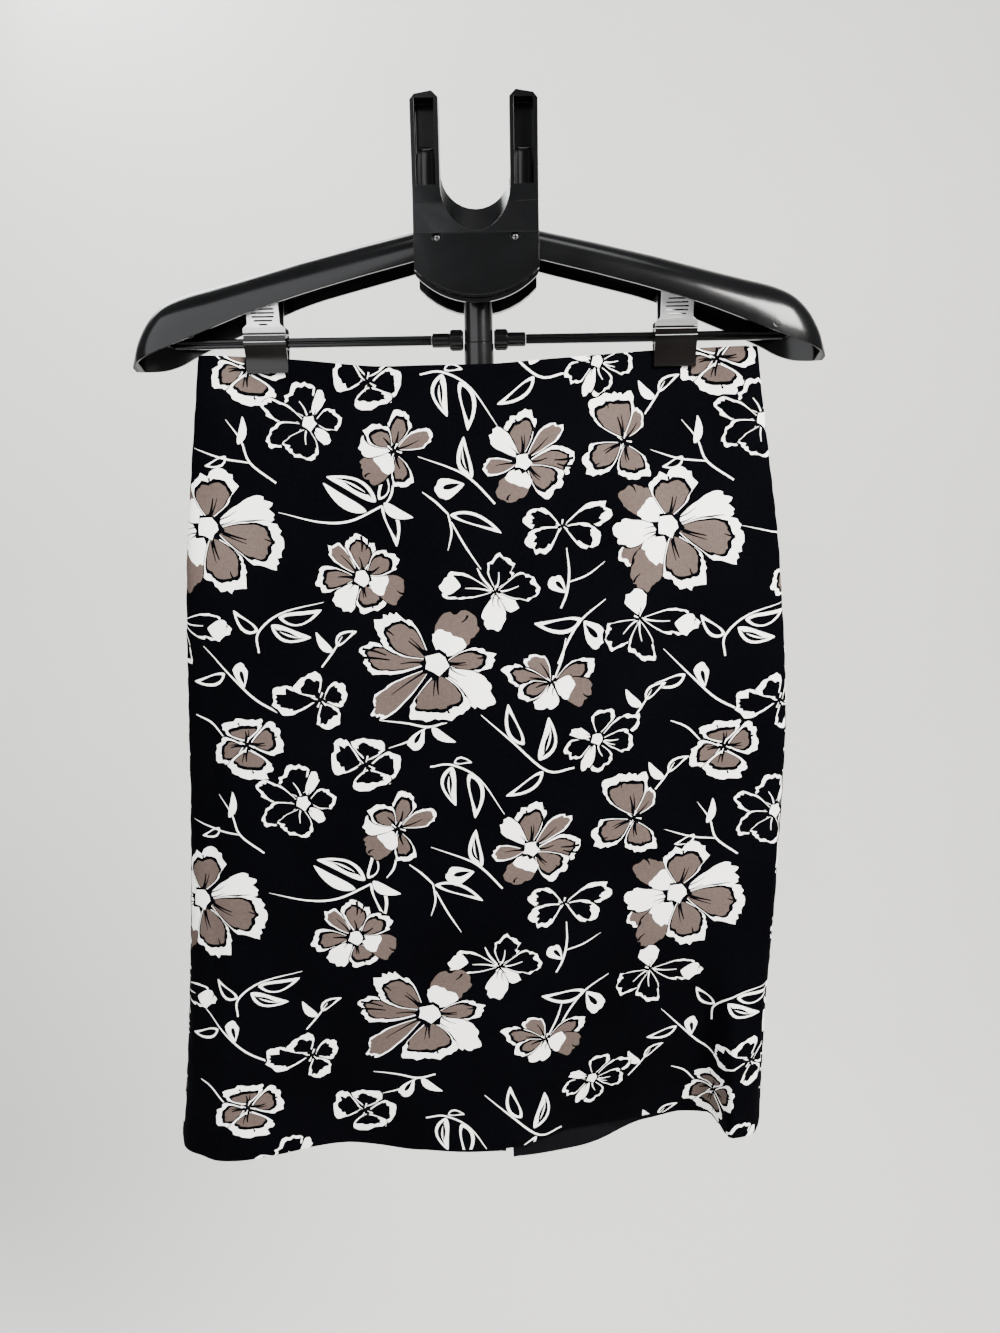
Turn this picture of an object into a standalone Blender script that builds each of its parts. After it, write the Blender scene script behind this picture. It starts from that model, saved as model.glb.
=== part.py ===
"""Pencil skirt clipped to a black plastic hanger.

The frame is +Z up, with the front of the skirt facing -Y. The origin is on
the axis of the hanger's stem, at the open lower end of the socket that it is
held by. All sizes below are in millimetres.
"""
import math

import bmesh
import bpy
import numpy as np

MM = 0.001
GAP = 0.3            # clearance between pieces that touch
PAST = 5.0           # how far a cutting body runs past what it cuts
CLOTH = 1.0          # thickness of the cloth wall
SLOPE_STEP = 0.01    # steps for slopes taken on the cloth, in drop and in turn
SPEED_STEP = 0.002

# --- Skirt -----------------------------------------------------------------
# A level of the skirt is a flattened tube. "drop" runs from 0 at the waist to
# 1 at the hem. left and right are its side edges and edge_y their depth.
# round is how square the tube is near its side edges. seam is how far the
# side seams lie in front of the side edges, as a share of half the width.
TUBE_LEVELS = (
    # drop, left,   right, edge_y, round, seam
    (0.00, -189.4, 188.0, 0.0, 40.0, 0.02),
    (0.03, -191.5, 189.8, -1.0, 38.0, 0.02),
    (0.10, -195.4, 194.3, -6.0, 28.0, 0.02),
    (0.25, -203.7, 204.1, -14.0, 18.0, 0.03),
    (0.45, -208.9, 210.4, -20.0, 13.0, 0.05),
    (0.65, -216.4, 208.1, -20.0, 11.0, 0.06),
    (0.85, -228.8, 204.6, -14.0, 10.0, 0.08),
    (1.00, -241.5, 204.8, -6.0, 10.0, 0.09),
)

# Depth (y) of the outside of the cloth, at stations across the half width.
STATIONS = (-0.90, -0.83, -0.64, -0.40, -0.14, 0.12, 0.36, 0.62, 0.79, 0.90)
FRONT_DEPTH = (
    # drop, then one column for each station
    (0.00, -4.2, -1.3, -1.3, -6.2, -13.0, -13.0, -7.2, -1.3, -1.3, -4.2),
    (0.03, -5.0, -1.3, -1.3, -7.2, -14.2, -14.2, -8.2, -1.3, -1.3, -5.0),
    (0.10, -13.0, -11.0, -11.5, -17.5, -23.0, -23.0, -18.5, -11.0, -10.0, -12.0),
    (0.25, -27.0, -28.0, -31.0, -35.5, -39.5, -39.5, -36.5, -31.0, -28.0, -26.0),
    (0.45, -38.0, -42.0, -46.0, -49.0, -51.0, -50.0, -47.0, -42.0, -38.0, -34.0),
    (0.65, -42.0, -46.0, -49.0, -50.5, -50.5, -48.5, -43.5, -38.0, -33.0, -29.0),
    (0.85, -44.0, -47.5, -46.5, -41.5, -45.0, -44.0, -33.5, -22.0, -14.0, -11.0),
    (1.00, -46.0, -50.0, -44.5, -30.0, -42.0, -39.5, -20.0, -3.5, 1.0, -1.0),
)
BACK_DEPTH = (
    (0.00, 4.2, 1.3, 1.3, -3.2, -10.2, -10.2, -4.2, 1.3, 1.3, 4.2),
    (0.03, 4.6, 1.3, 1.3, -3.2, -10.2, -10.2, -4.2, 1.3, 1.3, 4.6),
    (0.10, 6.0, 5.0, 4.0, -2.0, -10.4, -10.4, -3.0, 4.0, 5.0, 6.0),
    (0.25, 4.0, 6.0, 8.0, 2.0, -11.0, -11.0, 1.0, 8.0, 6.0, 4.0),
    (0.45, -2.0, 3.0, 8.0, 3.0, -11.5, -11.5, 2.0, 8.0, 5.0, -1.0),
    (0.65, -4.0, 1.0, 6.0, 1.0, -12.0, -12.5, 0.0, 8.0, 7.0, 0.0),
    (0.85, 0.0, 4.0, 5.0, 0.0, -13.0, -17.0, -4.0, 12.0, 15.0, 8.0),
    (1.00, 3.0, 5.0, 2.0, -5.0, -16.5, -25.0, -15.0, 17.0, 25.0, 19.0),
)

# Height (z) of the waist edge and of the hems, from side seam to side seam.
EDGE_STATIONS = (-1.0, -0.90, -0.66, -0.30, 0.00, 0.30, 0.66, 0.90, 1.0)
WAIST_Z = (40.5, 39.8, 37.0, 30.8, 30.8, 34.4, 39.2, 40.3, 40.5)
FRONT_HEM_Z = (-540.0, -536.5, -533.6, -533.6, -533.6, -533.6, -533.6, -536.5, -540.0)
BACK_HEM_Z = (-540.0, -543.0, -548.0, -551.5, -551.5, -551.5, -551.0, -545.0, -540.0)

# The one deep fold: a step forward beside the right side edge, which starts
# below the hip and is deepest at the hem.
FOLD_START = 0.58    # drop where it starts
FOLD_DEPTH = 35.0    # how far it steps forward at the hem
FOLD_PLACE = ((0.0, 0.76), (0.6, 0.78), (0.85, 0.838), (1.0, 0.857))
FOLD_WIDTH = ((0.0, 60.0), (0.58, 60.0), (0.8, 26.0), (1.0, 11.0))
FOLD_GROWTH = 1.4    # how late its depth grows

# The centre-back seam and the slit at its lower end.
CENTRE_BACK = ((0.0, 0.005), (0.5, 0.02), (1.0, 0.145))
SLIT_START = 0.77
SLIT_OPEN = 5.0      # gap of the slit at the hem
SLIT_LAP = 7.0       # how far the left edge falls behind the right one
SLIT_REACH = 0.16    # how far to the side that reaches, in half widths

CLIPPED = 0.028            # drop down to which the clips press the cloth flat
CLOTH_ROWS = 21            # rows below that
FRONT_COLUMNS = (25, 11)   # left and right of the fold
CROWDING = 1.35            # how the front's columns crowd towards the fold
BACK_COLUMNS = 15

# --- Hanger ----------------------------------------------------------------
STEM_RADIUS = 9.5
SOCKET_RADIUS = 9.9
SOCKET_BORE = 8.2
SOCKET_LENGTH = 45.0
STEM_TOP = 104.0

PLATE_HALF_WIDTH = 40.0
PLATE_FRONT = -24.0
PLATE_BACK = -18.3
PLATE_BOTTOM = 71.0
PLATE_CORNER = 88.5        # height where its rounded lower edge starts
SHOULDER_LOW = 110.0       # the face slopes back from here up to SHOULDER_HIGH
SHOULDER_HIGH = 129.0
PRONG_TOP = 193.2
PRONG_FRONT = -20.5
PRONG_BACK = -6.0
PRONG_CORNER = 4.0         # how far its outer top corner is rounded down
NOTCH_RADIUS = 22.3        # the round notch between the prongs
NOTCH_CENTRE = 149.0
NOTCH_BEND = -12.0         # its surface slants down and forward from here
NOTCH_FLARE = 15.9         # how far its front edge dips
POCKET_X = (25.0, 37.2)
POCKET_Z = (139.5, 190.0)
POCKET_FLOOR = -9.0
SCREW_X = 25.0
SCREW_Z = 107.5
SCREW_RADIUS = 3.0
SCREW_DEPTH = 2.6

CORE_HALF_WIDTH = 23.4
CORE_DEPTH = 18.0
CORE_CORNER = 79.0         # its underside slants down from here to CORE_LOW
CORE_LOW = 74.0
CORE_TOP = 111.0
BLOCK_HEIGHT = 18.0        # the fork's block on top of the core
ARM_ROOT_TOP = 121.0       # the fork's thick upper part starts above the arms
BACK_PLATE = (18.3, 28.0)  # from and to, in y
BACK_PLATE_TOP = 126.0
BACK_PLATE_CORNER = 8.0
BACK_PLATE_DROP = 5.0      # how much lower it hangs than the front plate

ARM_WALL = 2.4
# One half of the hanger's beam: a channel, open below. The lips are the
# lower edges of its front and back walls, half_depth half its width in y.
ARM_SECTIONS = (
    # x,    top,   half_depth, front_lip, back_lip
    (23.8, 120.0, 16.5, 99.0, 98.0),
    (42.0, 115.0, 17.0, 94.5, 92.5),
    (80.0, 106.7, 17.6, 85.0, 83.2),
    (115.0, 98.5, 18.2, 75.5, 73.8),
    (150.0, 89.4, 19.0, 64.6, 60.2),
    (175.0, 83.2, 19.0, 55.2, 49.8),
    (193.0, 78.8, 18.6, 48.6, 41.8),
    (206.0, 73.8, 17.4, 44.2, 35.0),
    (217.0, 65.0, 14.8, 40.5, 31.8),
    (226.0, 51.5, 10.0, 36.8, 31.0),
    (232.0, 36.0, 3.0, 32.6, 30.8),
)
ARM_STEPS = 18
ARM_ARCH = 12
ARM_SQUARENESS = 0.85      # 1 would make each section half an ellipse

ROD_Z = 47.5
ROD_HEIGHT = 6.2
ROD_DEPTH = 5.4
ROD_GROOVE = 1.1
ROD_INNER = 31.6
ROD_OUTER = 203.0
ROD_CHAMFER = 0.8
GROOVE_HALF = (0.8, 0.4)   # half height of the rod's groove at its mouth and floor
RIB = (203.3, 206.3)       # the rib inside each arm that the rod's end meets
RIB_OUTLINE = ((-15.6, 45.0), (15.6, 45.0), (14.5, 56.0), (9.0, 63.0), (-9.0, 63.0), (-14.5, 56.0))
CONNECTOR_PROFILE = (
    # x, radius
    (10.2, 5.6), (10.9, 6.4), (18.9, 6.4), (19.6, 5.7), (19.6, 4.7), (30.6, 4.7), (31.3, 4.1),
)
CONNECTOR_SIDES = 16

CLIP_CENTRES = (("left", -142.0), ("right", 131.3))
CLIP_FINGER_WIDTH = 21.5
CLIP_JAW_WIDTH = 28.0
CLIP_SHOULDERS = (56.0, 59.5)   # heights between which the steel plate narrows
CLIP_PLATE_TOP = 78.0
CLIP_PLATE_CORNER = 2.0
CLIP_PLATE = ((-6.9, 53.7), (-7.6, 57.0), (-10.6, 77.5))           # y, z of its outer face
CLIP_JAW = ((-6.7, 53.3), (-6.9, 47.5), (-6.2, 44.5), (-3.3, 36.0), (-3.3, 28.0))
CLIP_PLATE_THICK = 1.0
CLIP_JAW_THICK = 1.6
CLIP_EAR = ((-6.2, 51.5), (-6.2, 44.5), (0.0, 42.6), (4.6, 45.5), (4.6, 49.5), (0.0, 52.4))
CLIP_EAR_THICK = 1.1
CLIP_EAR_INSET = 1.4            # the back jaw's ears lie inside the front jaw's
CLIP_EAR_BORE = 3.9

PLASTIC = ("black_plastic", (0.012, 0.012, 0.013), 0.28, 0.0)
TUBE = ("black_tube", (0.014, 0.014, 0.015), 0.3, 0.6)
STEEL = ("steel", (0.62, 0.62, 0.63), 0.25, 1.0)
COTTON = ("black_cotton", (0.012, 0.012, 0.014), 0.85, 0.0)


# --- Small tools -----------------------------------------------------------
def clear_scene():
    for thing in list(bpy.data.objects):
        bpy.data.objects.remove(thing)


def make_material(spec):
    name, colour, roughness, metallic = spec
    material = bpy.data.materials.get(name)
    if material is None:
        material = bpy.data.materials.new(name)
        material.use_nodes = True
        shader = material.node_tree.nodes["Principled BSDF"]
        shader.inputs["Base Color"].default_value = (*colour, 1.0)
        shader.inputs["Roughness"].default_value = roughness
        shader.inputs["Metallic"].default_value = metallic
    return material


def add_object(name, points, faces, spec, smooth=True):
    """A mesh object from points in millimetres."""
    mesh = bpy.data.meshes.new(name)
    mesh.from_pydata([tuple(c * MM for c in p) for p in points], [], faces)
    shell = bmesh.new()
    shell.from_mesh(mesh)
    bmesh.ops.recalc_face_normals(shell, faces=shell.faces)
    shell.to_mesh(mesh)
    shell.free()
    if smooth:
        mesh.shade_smooth()
        mesh.set_sharp_from_angle(angle=math.radians(35))
    body = bpy.data.objects.new(name, mesh)
    body.data.materials.append(make_material(spec))
    bpy.context.scene.collection.objects.link(body)
    return body


def loft(name, rings, spec, smooth=True):
    """A closed solid through rings of equal length, capped at both ends."""
    count = len(rings[0])
    points = [p for ring in rings for p in ring]
    faces = []
    for r in range(len(rings) - 1):
        for c in range(count):
            d = (c + 1) % count
            low, high = r * count, (r + 1) * count
            faces.append((low + c, low + d, high + d, high + c))
    faces.append(tuple(range(count)))
    last = (len(rings) - 1) * count
    faces.append(tuple(last + c for c in range(count)))
    return add_object(name, points, faces, spec, smooth)


def prism(name, outline, axis, low, high, spec, smooth=False):
    """An outline of (u, v) pairs run along an axis: x (u=y), y (u=x) or z (u=x)."""
    place = {
        "x": lambda u, v, h: (h, u, v),
        "y": lambda u, v, h: (u, h, v),
        "z": lambda u, v, h: (u, v, h),
    }[axis]
    rings = [[place(u, v, h) for u, v in outline] for h in (low, high)]
    return loft(name, rings, spec, smooth)


def arc(centre, radius, start, end, steps):
    """Points (u, v) on an arc, angles in degrees."""
    turns = [math.radians(start + (end - start) * i / steps) for i in range(steps + 1)]
    return [(centre[0] + radius * math.cos(a), centre[1] + radius * math.sin(a)) for a in turns]


def combine(target, tool, operation):
    """A Boolean of the target with a hidden tool body."""
    tool.hide_render = True
    tool.display_type = "WIRE"
    step = target.modifiers.new(operation.lower() + "_" + tool.name, "BOOLEAN")
    step.operation = operation
    step.solver = "EXACT"
    step.object = tool


def ease(x):
    x = np.clip(x, 0.0, 1.0)
    return x * x * (3.0 - 2.0 * x)


def curve_through(knots, values, x):
    """Smooth curve through table rows that never overshoots them.

    values has one row for each knot and may have further columns."""
    knots = np.asarray(knots, float)
    values = np.asarray(values, float)
    step = np.diff(knots).reshape((-1,) + (1,) * (values.ndim - 1))
    slope = np.diff(values, axis=0) / step
    before, after = slope[:-1], slope[1:]
    same_way = before * after > 0.0
    total = np.where(same_way, before + after, 1.0)
    inner = np.where(same_way, 2.0 * before * after / total, 0.0)
    tangent = np.concatenate([slope[:1], inner, slope[-1:]])
    x = np.clip(np.asarray(x, float), knots[0], knots[-1])
    i = np.clip(np.searchsorted(knots, x, side="right") - 1, 0, len(knots) - 2)
    width = knots[i + 1] - knots[i]
    s = (x - knots[i]) / width
    if values.ndim > 1 and x.ndim > 0:
        s, width = s[..., None], width[..., None]
    return ((1 + 2 * s) * (1 - s) ** 2 * values[i] + s * (1 - s) ** 2 * width * tangent[i]
            + s * s * (3 - 2 * s) * values[i + 1] - s * s * (1 - s) * width * tangent[i + 1])


def column(table, drop, index=1):
    rows = np.asarray(table, float)
    return curve_through(rows[:, 0], rows[:, index], drop)


# --- The cloth's shape -----------------------------------------------------
def tube_edges(drop):
    """left, right, edge depth, roundness and seam shift of one level."""
    rows = np.asarray(TUBE_LEVELS, float)
    return curve_through(rows[:, 0], rows[:, 1:], drop)


def across(turn):
    """Place across the half width, -1 to 1, for a turn of -1 to 1."""
    return np.sin(np.asarray(turn, float) * math.pi / 2.0)


def turn_of(place):
    return math.asin(place) * 2.0 / math.pi


def cloth_points(side, turns, drop):
    """Points of the outside of the cloth along one level.

    side is "front", "back_left" or "back_right"; turns are -1 at the left
    side edge to 1 at the right one."""
    left, right, edge_y, roundness, _ = tube_edges(drop)
    w = across(turns)
    x = (left + right) / 2.0 + w * (right - left) / 2.0
    table = np.asarray(FRONT_DEPTH if side == "front" else BACK_DEPTH, float)
    level = curve_through(table[:, 0], table[:, 1:], drop)
    depth = curve_through(STATIONS, level, w)
    if side == "front":
        amount = FOLD_DEPTH * ease((drop - FOLD_START) / (1.0 - FOLD_START)) ** FOLD_GROWTH
        width = column(FOLD_WIDTH, drop) / (right - left)
        depth = depth - amount * ease(0.5 + (w - column(FOLD_PLACE, drop)) / (2.0 * width))
        hem = FRONT_HEM_Z
    else:
        hem = BACK_HEM_Z
    if side == "back_left":
        beside = np.exp(-((w - column(CENTRE_BACK, drop)) / SLIT_REACH) ** 2)
        depth = depth + SLIT_LAP * slit_share(drop) * beside
    fullness = np.sqrt(np.clip(1.0 - np.abs(w) ** roundness, 0.0, 1.0))
    y = edge_y + (depth - edge_y) * fullness
    top = curve_through(EDGE_STATIONS, WAIST_Z, w)
    bottom = curve_through(EDGE_STATIONS, hem, w)
    return np.stack([x, y, top + (bottom - top) * drop], axis=-1)


def slit_share(drop):
    return ease((drop - SLIT_START) / (1.0 - SLIT_START))


def cloth_normals(side, turns, drop):
    """Unit normals of the cloth, pointing out of the skirt."""
    turns = np.asarray(turns, float)
    right = cloth_points(side, turns + SLOPE_STEP, drop)
    left = cloth_points(side, turns - SLOPE_STEP, drop)
    lower = cloth_points(side, turns, min(drop + SLOPE_STEP, 1.0))
    upper = cloth_points(side, turns, max(drop - SLOPE_STEP, 0.0))
    along, down = right - left, lower - upper
    normal = np.cross(down, along) if side == "front" else np.cross(along, down)
    return normal / np.linalg.norm(normal, axis=-1, keepdims=True)


def shift_turn(side, turn, drop, distance):
    """The turn that lies a distance along the cloth from the given one."""
    near = cloth_points(side, np.array([turn - SPEED_STEP, turn + SPEED_STEP]), drop)
    speed = np.linalg.norm(near[1] - near[0]) / (2.0 * SPEED_STEP)
    return turn + distance / speed


def seam_turn(drop):
    return 1.0 - tube_edges(drop)[4]


def front_turns(drop):
    low = shift_turn("front", -seam_turn(drop), drop, GAP / 2.0)
    high = shift_turn("front", seam_turn(drop), drop, -GAP / 2.0)
    fold = turn_of(column(FOLD_PLACE, drop))
    before = 1.0 - np.linspace(1.0, 0.0, FRONT_COLUMNS[0] + 1) ** CROWDING
    after = np.linspace(0.0, 1.0, FRONT_COLUMNS[1] + 1)[1:] ** CROWDING
    return np.concatenate([low + (fold - low) * before, fold + (high - fold) * after])


def back_turns(side, drop):
    """Turns of a back half, from its side edge to the centre-back seam."""
    centre = turn_of(column(CENTRE_BACK, drop))
    if side == "back_left":
        opening = GAP / 2.0 + SLIT_OPEN * slit_share(drop)
        return np.linspace(-1.0, shift_turn(side, centre, drop, -opening), BACK_COLUMNS + 1)
    return np.linspace(1.0, shift_turn(side, centre, drop, GAP / 2.0), BACK_COLUMNS + 1)


def panel(name, side, spec):
    """One cut piece of the skirt as a thin closed wall."""
    outer, inner = [], []
    drops = [0.0] + [CLIPPED + (1.0 - CLIPPED) * r / CLOTH_ROWS for r in range(CLOTH_ROWS + 1)]
    for drop in drops:
        points, normals = panel_row(side, drop)
        outer.append(points)
        inner.append(points - normals * CLOTH)
    rows, columns = len(outer), len(outer[0])
    points = [tuple(p) for row in outer for p in row] + [tuple(p) for row in inner for p in row]
    shift = rows * columns
    faces = []

    def at(row, place):
        return row * columns + place

    for r in range(rows - 1):
        for c in range(columns - 1):
            quad = (at(r, c), at(r, c + 1), at(r + 1, c + 1), at(r + 1, c))
            faces.append(quad)
            faces.append(tuple(shift + i for i in reversed(quad)))
    border = [at(0, c) for c in range(columns)]
    border += [at(r, columns - 1) for r in range(1, rows)]
    border += [at(rows - 1, c) for c in range(columns - 2, -1, -1)]
    border += [at(r, 0) for r in range(rows - 2, 0, -1)]
    for i, j in zip(border, border[1:] + border[:1]):
        faces.append((j, i, shift + i, shift + j))
    return add_object(name, points, faces, spec)


def panel_row(side, drop):
    """Outside points and normals of one row of a panel.

    A back half starts at the side seam, which lies on the front of the tube,
    runs round the side edge and goes on to the centre-back seam."""
    if side == "front":
        turns = front_turns(drop)
        return cloth_points(side, turns, drop), cloth_normals(side, turns, drop)
    turns = back_turns(side, drop)
    way = math.copysign(1.0, turns[0])
    seam = np.array([shift_turn("front", way * seam_turn(drop), drop, way * GAP / 2.0)])
    points = [cloth_points("front", seam, drop), cloth_points(side, turns, drop)]
    edge_normal = np.array([[way, 0.0, 0.0]])
    normals = [cloth_normals("front", seam, drop), edge_normal, cloth_normals(side, turns[1:], drop)]
    return np.concatenate(points), np.concatenate(normals)


def build_skirt():
    for name, side in (("skirt_front", "front"), ("skirt_back_left", "back_left"),
                       ("skirt_back_right", "back_right")):
        panel(name, side, COTTON)


# --- The hanger's parts ----------------------------------------------------
def plate_outline(top):
    """Straight sides, a round lower edge, closed by a straight top."""
    rise = PLATE_CORNER - PLATE_BOTTOM
    radius = (PLATE_HALF_WIDTH ** 2 + rise ** 2) / (2.0 * rise)
    half_angle = math.degrees(math.asin(PLATE_HALF_WIDTH / radius))
    centre = (0.0, PLATE_BOTTOM + radius)
    lower = arc(centre, radius, 270.0 - half_angle, 270.0 + half_angle, 12)
    return lower + top


def build_fork():
    """The front plate with its two prongs and the round notch between them."""
    width, top, corner = PLATE_HALF_WIDTH, PRONG_TOP, PRONG_CORNER
    notch = arc((0.0, NOTCH_CENTRE), NOTCH_RADIUS, 0.0, -180.0, 16)
    right = [(width, top - corner), (width - 0.7 * corner, top - 0.2 * corner),
             (NOTCH_RADIUS + corner, top + 0.25 * corner), (NOTCH_RADIUS, top - 0.7 * corner)]
    left = [(-u, v) for u, v in reversed(right)]
    outline = plate_outline(right + notch + left)
    fork = prism("fork", outline, "y", PLATE_FRONT, PRONG_BACK, PLASTIC)
    high, back = top + 10.0 * PAST, PRONG_BACK + PAST
    side_view = [(PLATE_FRONT, 0.0), (PLATE_FRONT, SHOULDER_LOW), (PRONG_FRONT, SHOULDER_HIGH),
                 (PRONG_FRONT, high), (back, high), (back, ARM_ROOT_TOP + GAP),
                 (PLATE_BACK, ARM_ROOT_TOP + GAP), (PLATE_BACK, 0.0)]
    side = prism("fork_side_view", side_view, "x", -width - PAST, width + PAST, PLASTIC)
    combine(fork, side, "INTERSECT")
    width, low = CORE_HALF_WIDTH - GAP, CORE_TOP + GAP
    block = [(-width, low), (width, low), (width, low + BLOCK_HEIGHT), (-width, low + BLOCK_HEIGHT)]
    combine(fork, prism("fork_block", block, "y", PLATE_BACK - 1.0, PRONG_BACK, PLASTIC), "UNION")
    combine(fork, notch_cut(), "DIFFERENCE")
    front = PLATE_FRONT - PAST
    for name, way in (("left", -1.0), ("right", 1.0)):
        (inner, outer), (low, high) = POCKET_X, POCKET_Z
        pocket = [(way * inner, low), (way * outer, low), (way * outer, high), (way * inner, high)]
        combine(fork, prism("fork_pocket_" + name, pocket, "y", front, POCKET_FLOOR, PLASTIC), "DIFFERENCE")
        hole = arc((way * SCREW_X, SCREW_Z), SCREW_RADIUS, 0.0, 330.0, 11)
        floor = PLATE_FRONT + SCREW_DEPTH
        combine(fork, prism("fork_screw_" + name, hole, "y", front, floor, PLASTIC), "DIFFERENCE")


def notch_cut():
    """The round notch, whose front half slants down and open."""
    slope = NOTCH_FLARE / (NOTCH_BEND - PLATE_FRONT)
    rings = []
    for y in (PLATE_FRONT - PAST, NOTCH_BEND, PRONG_BACK + PAST):
        centre = NOTCH_CENTRE - slope * max(NOTCH_BEND - y, 0.0)
        ring = arc((0.0, centre), NOTCH_RADIUS, 0.0, -180.0, 16)
        high = NOTCH_CENTRE + NOTCH_RADIUS
        ring += [(-NOTCH_RADIUS, high), (NOTCH_RADIUS, high)]
        rings.append([(u, y, v) for u, v in ring])
    return loft("fork_notch", rings, PLASTIC)


def build_core():
    """The block between the plates, bored for the stem, and the back plate."""
    width = CORE_HALF_WIDTH
    outline = [(-width, CORE_CORNER), (0.0, CORE_LOW), (width, CORE_CORNER),
               (width, CORE_TOP), (-width, CORE_TOP)]
    core = prism("hub_core", outline, "y", -CORE_DEPTH, CORE_DEPTH, PLASTIC)
    bore = arc((0.0, 0.0), STEM_RADIUS + GAP, 0.0, 345.0, 23)
    combine(core, prism("hub_bore", bore, "z", CORE_LOW - PAST, STEM_TOP + GAP, PLASTIC), "DIFFERENCE")
    width, top, corner = PLATE_HALF_WIDTH, BACK_PLATE_TOP, BACK_PLATE_CORNER
    upper = [(width, top - corner), (width - corner, top), (corner - width, top), (-width, top - corner)]
    outline = [(u, v - BACK_PLATE_DROP) for u, v in plate_outline(upper)]
    prism("hub_back", outline, "y", *BACK_PLATE, PLASTIC)


def round_bar(radius, low, high, sides=24):
    turns = [2.0 * math.pi * i / sides for i in range(sides)]
    return [[(radius * math.cos(a), radius * math.sin(a), z) for a in turns] for z in (low, high)]


def build_stem():
    loft("stem", round_bar(STEM_RADIUS, SOCKET_LENGTH + GAP, STEM_TOP), TUBE)
    socket = loft("stem_socket", round_bar(SOCKET_RADIUS, 0.0, SOCKET_LENGTH), TUBE)
    bore = round_bar(SOCKET_BORE, -PAST, SOCKET_LENGTH + PAST)
    combine(socket, loft("socket_bore", bore, TUBE), "DIFFERENCE")


def arm_section(x, way, inset):
    """One section of an arm, from the front lip over the top to the back lip.

    inset shrinks it by the wall, for the channel's inside."""
    rows = np.asarray(ARM_SECTIONS, float)
    top, half_depth, front_lip, back_lip = curve_through(rows[:, 0], rows[:, 1:], x)
    top, half_depth = top - inset, half_depth - inset
    ring = []
    for i in range(ARM_ARCH + 1):
        angle = math.pi * (i / ARM_ARCH - 0.5)
        lip = front_lip if angle < 0 else back_lip
        y = half_depth * math.copysign(abs(math.sin(angle)) ** ARM_SQUARENESS, angle)
        z = lip + (top - lip) * max(math.cos(angle), 0.0) ** ARM_SQUARENESS
        ring.append((way * x, y, z))
    if inset:
        below = 6.0 * PAST
        ring += [(way * x, half_depth, back_lip - below), (way * x, -half_depth, front_lip - below)]
    return ring


def build_arm(name, way):
    first, last = ARM_SECTIONS[0][0], ARM_SECTIONS[-1][0]
    shares = [math.sin(i / ARM_STEPS * math.pi / 2.0) for i in range(ARM_STEPS + 1)]
    places = [first + (last - first) * s for s in shares]
    arm = loft("arm_" + name, [arm_section(x, way, 0.0) for x in places], PLASTIC)
    end = last - 2.0 * ARM_WALL
    places = [first - PAST + (end - first + PAST) * s for s in shares]
    inside = loft("arm_inside_" + name, [arm_section(x, way, ARM_WALL) for x in places], PLASTIC)
    combine(arm, inside, "DIFFERENCE")
    low, high = sorted((way * RIB[0], way * RIB[1]))
    combine(arm, prism("arm_rib_" + name, RIB_OUTLINE, "x", low, high, PLASTIC), "UNION")


def build_rod(name, way):
    """The rod under one arm, grooved in front, and the connector on its end."""
    h, d, c = ROD_HEIGHT / 2.0, ROD_DEPTH / 2.0, ROD_CHAMFER
    mouth, floor = GROOVE_HALF
    outline = [(-d, -h + c), (-d + c, -h), (d - c, -h), (d, -h + c), (d, h - c), (d - c, h),
               (-d + c, h), (-d, h - c), (-d, mouth), (-d + ROD_GROOVE, floor),
               (-d + ROD_GROOVE, -floor), (-d, -mouth)]
    outline = [(y, ROD_Z + z) for y, z in outline]
    low, high = sorted((way * ROD_INNER, way * ROD_OUTER))
    prism("rod_" + name, outline, "x", low, high, PLASTIC)
    turns = [2.0 * math.pi * i / CONNECTOR_SIDES for i in range(CONNECTOR_SIDES)]
    rings = [[(way * x, radius * math.cos(a), ROD_Z + radius * math.sin(a)) for a in turns]
             for x, radius in CONNECTOR_PROFILE]
    loft("connector_" + name, rings, PLASTIC)


def thick_strip(path, thickness):
    """Outline of a bent strip: its outer face and its inner one."""
    outer = [np.array(p, float) for p in path]
    inner = []
    for i, p in enumerate(outer):
        before = outer[max(i - 1, 0)]
        after = outer[min(i + 1, len(outer) - 1)]
        run = (after - before) / np.linalg.norm(after - before)
        side = np.array([-run[1], run[0]])
        inner.append(p + side * thickness)
    return [tuple(p) for p in outer] + [tuple(p) for p in reversed(inner)]


def finger_outline(centre):
    """Front view of a steel plate: narrow above, as wide as the jaw below."""
    half, narrow = CLIP_JAW_WIDTH / 2.0, CLIP_FINGER_WIDTH / 2.0
    low, high = CLIP_SHOULDERS
    top, corner = CLIP_PLATE_TOP, CLIP_PLATE_CORNER
    right = [(half, low - PAST), (half, low), (narrow, high), (narrow, top - corner), (narrow - corner, top)]
    left = [(-u, v) for u, v in reversed(right)]
    return [(centre + u, v) for u, v in right + left]


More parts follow.
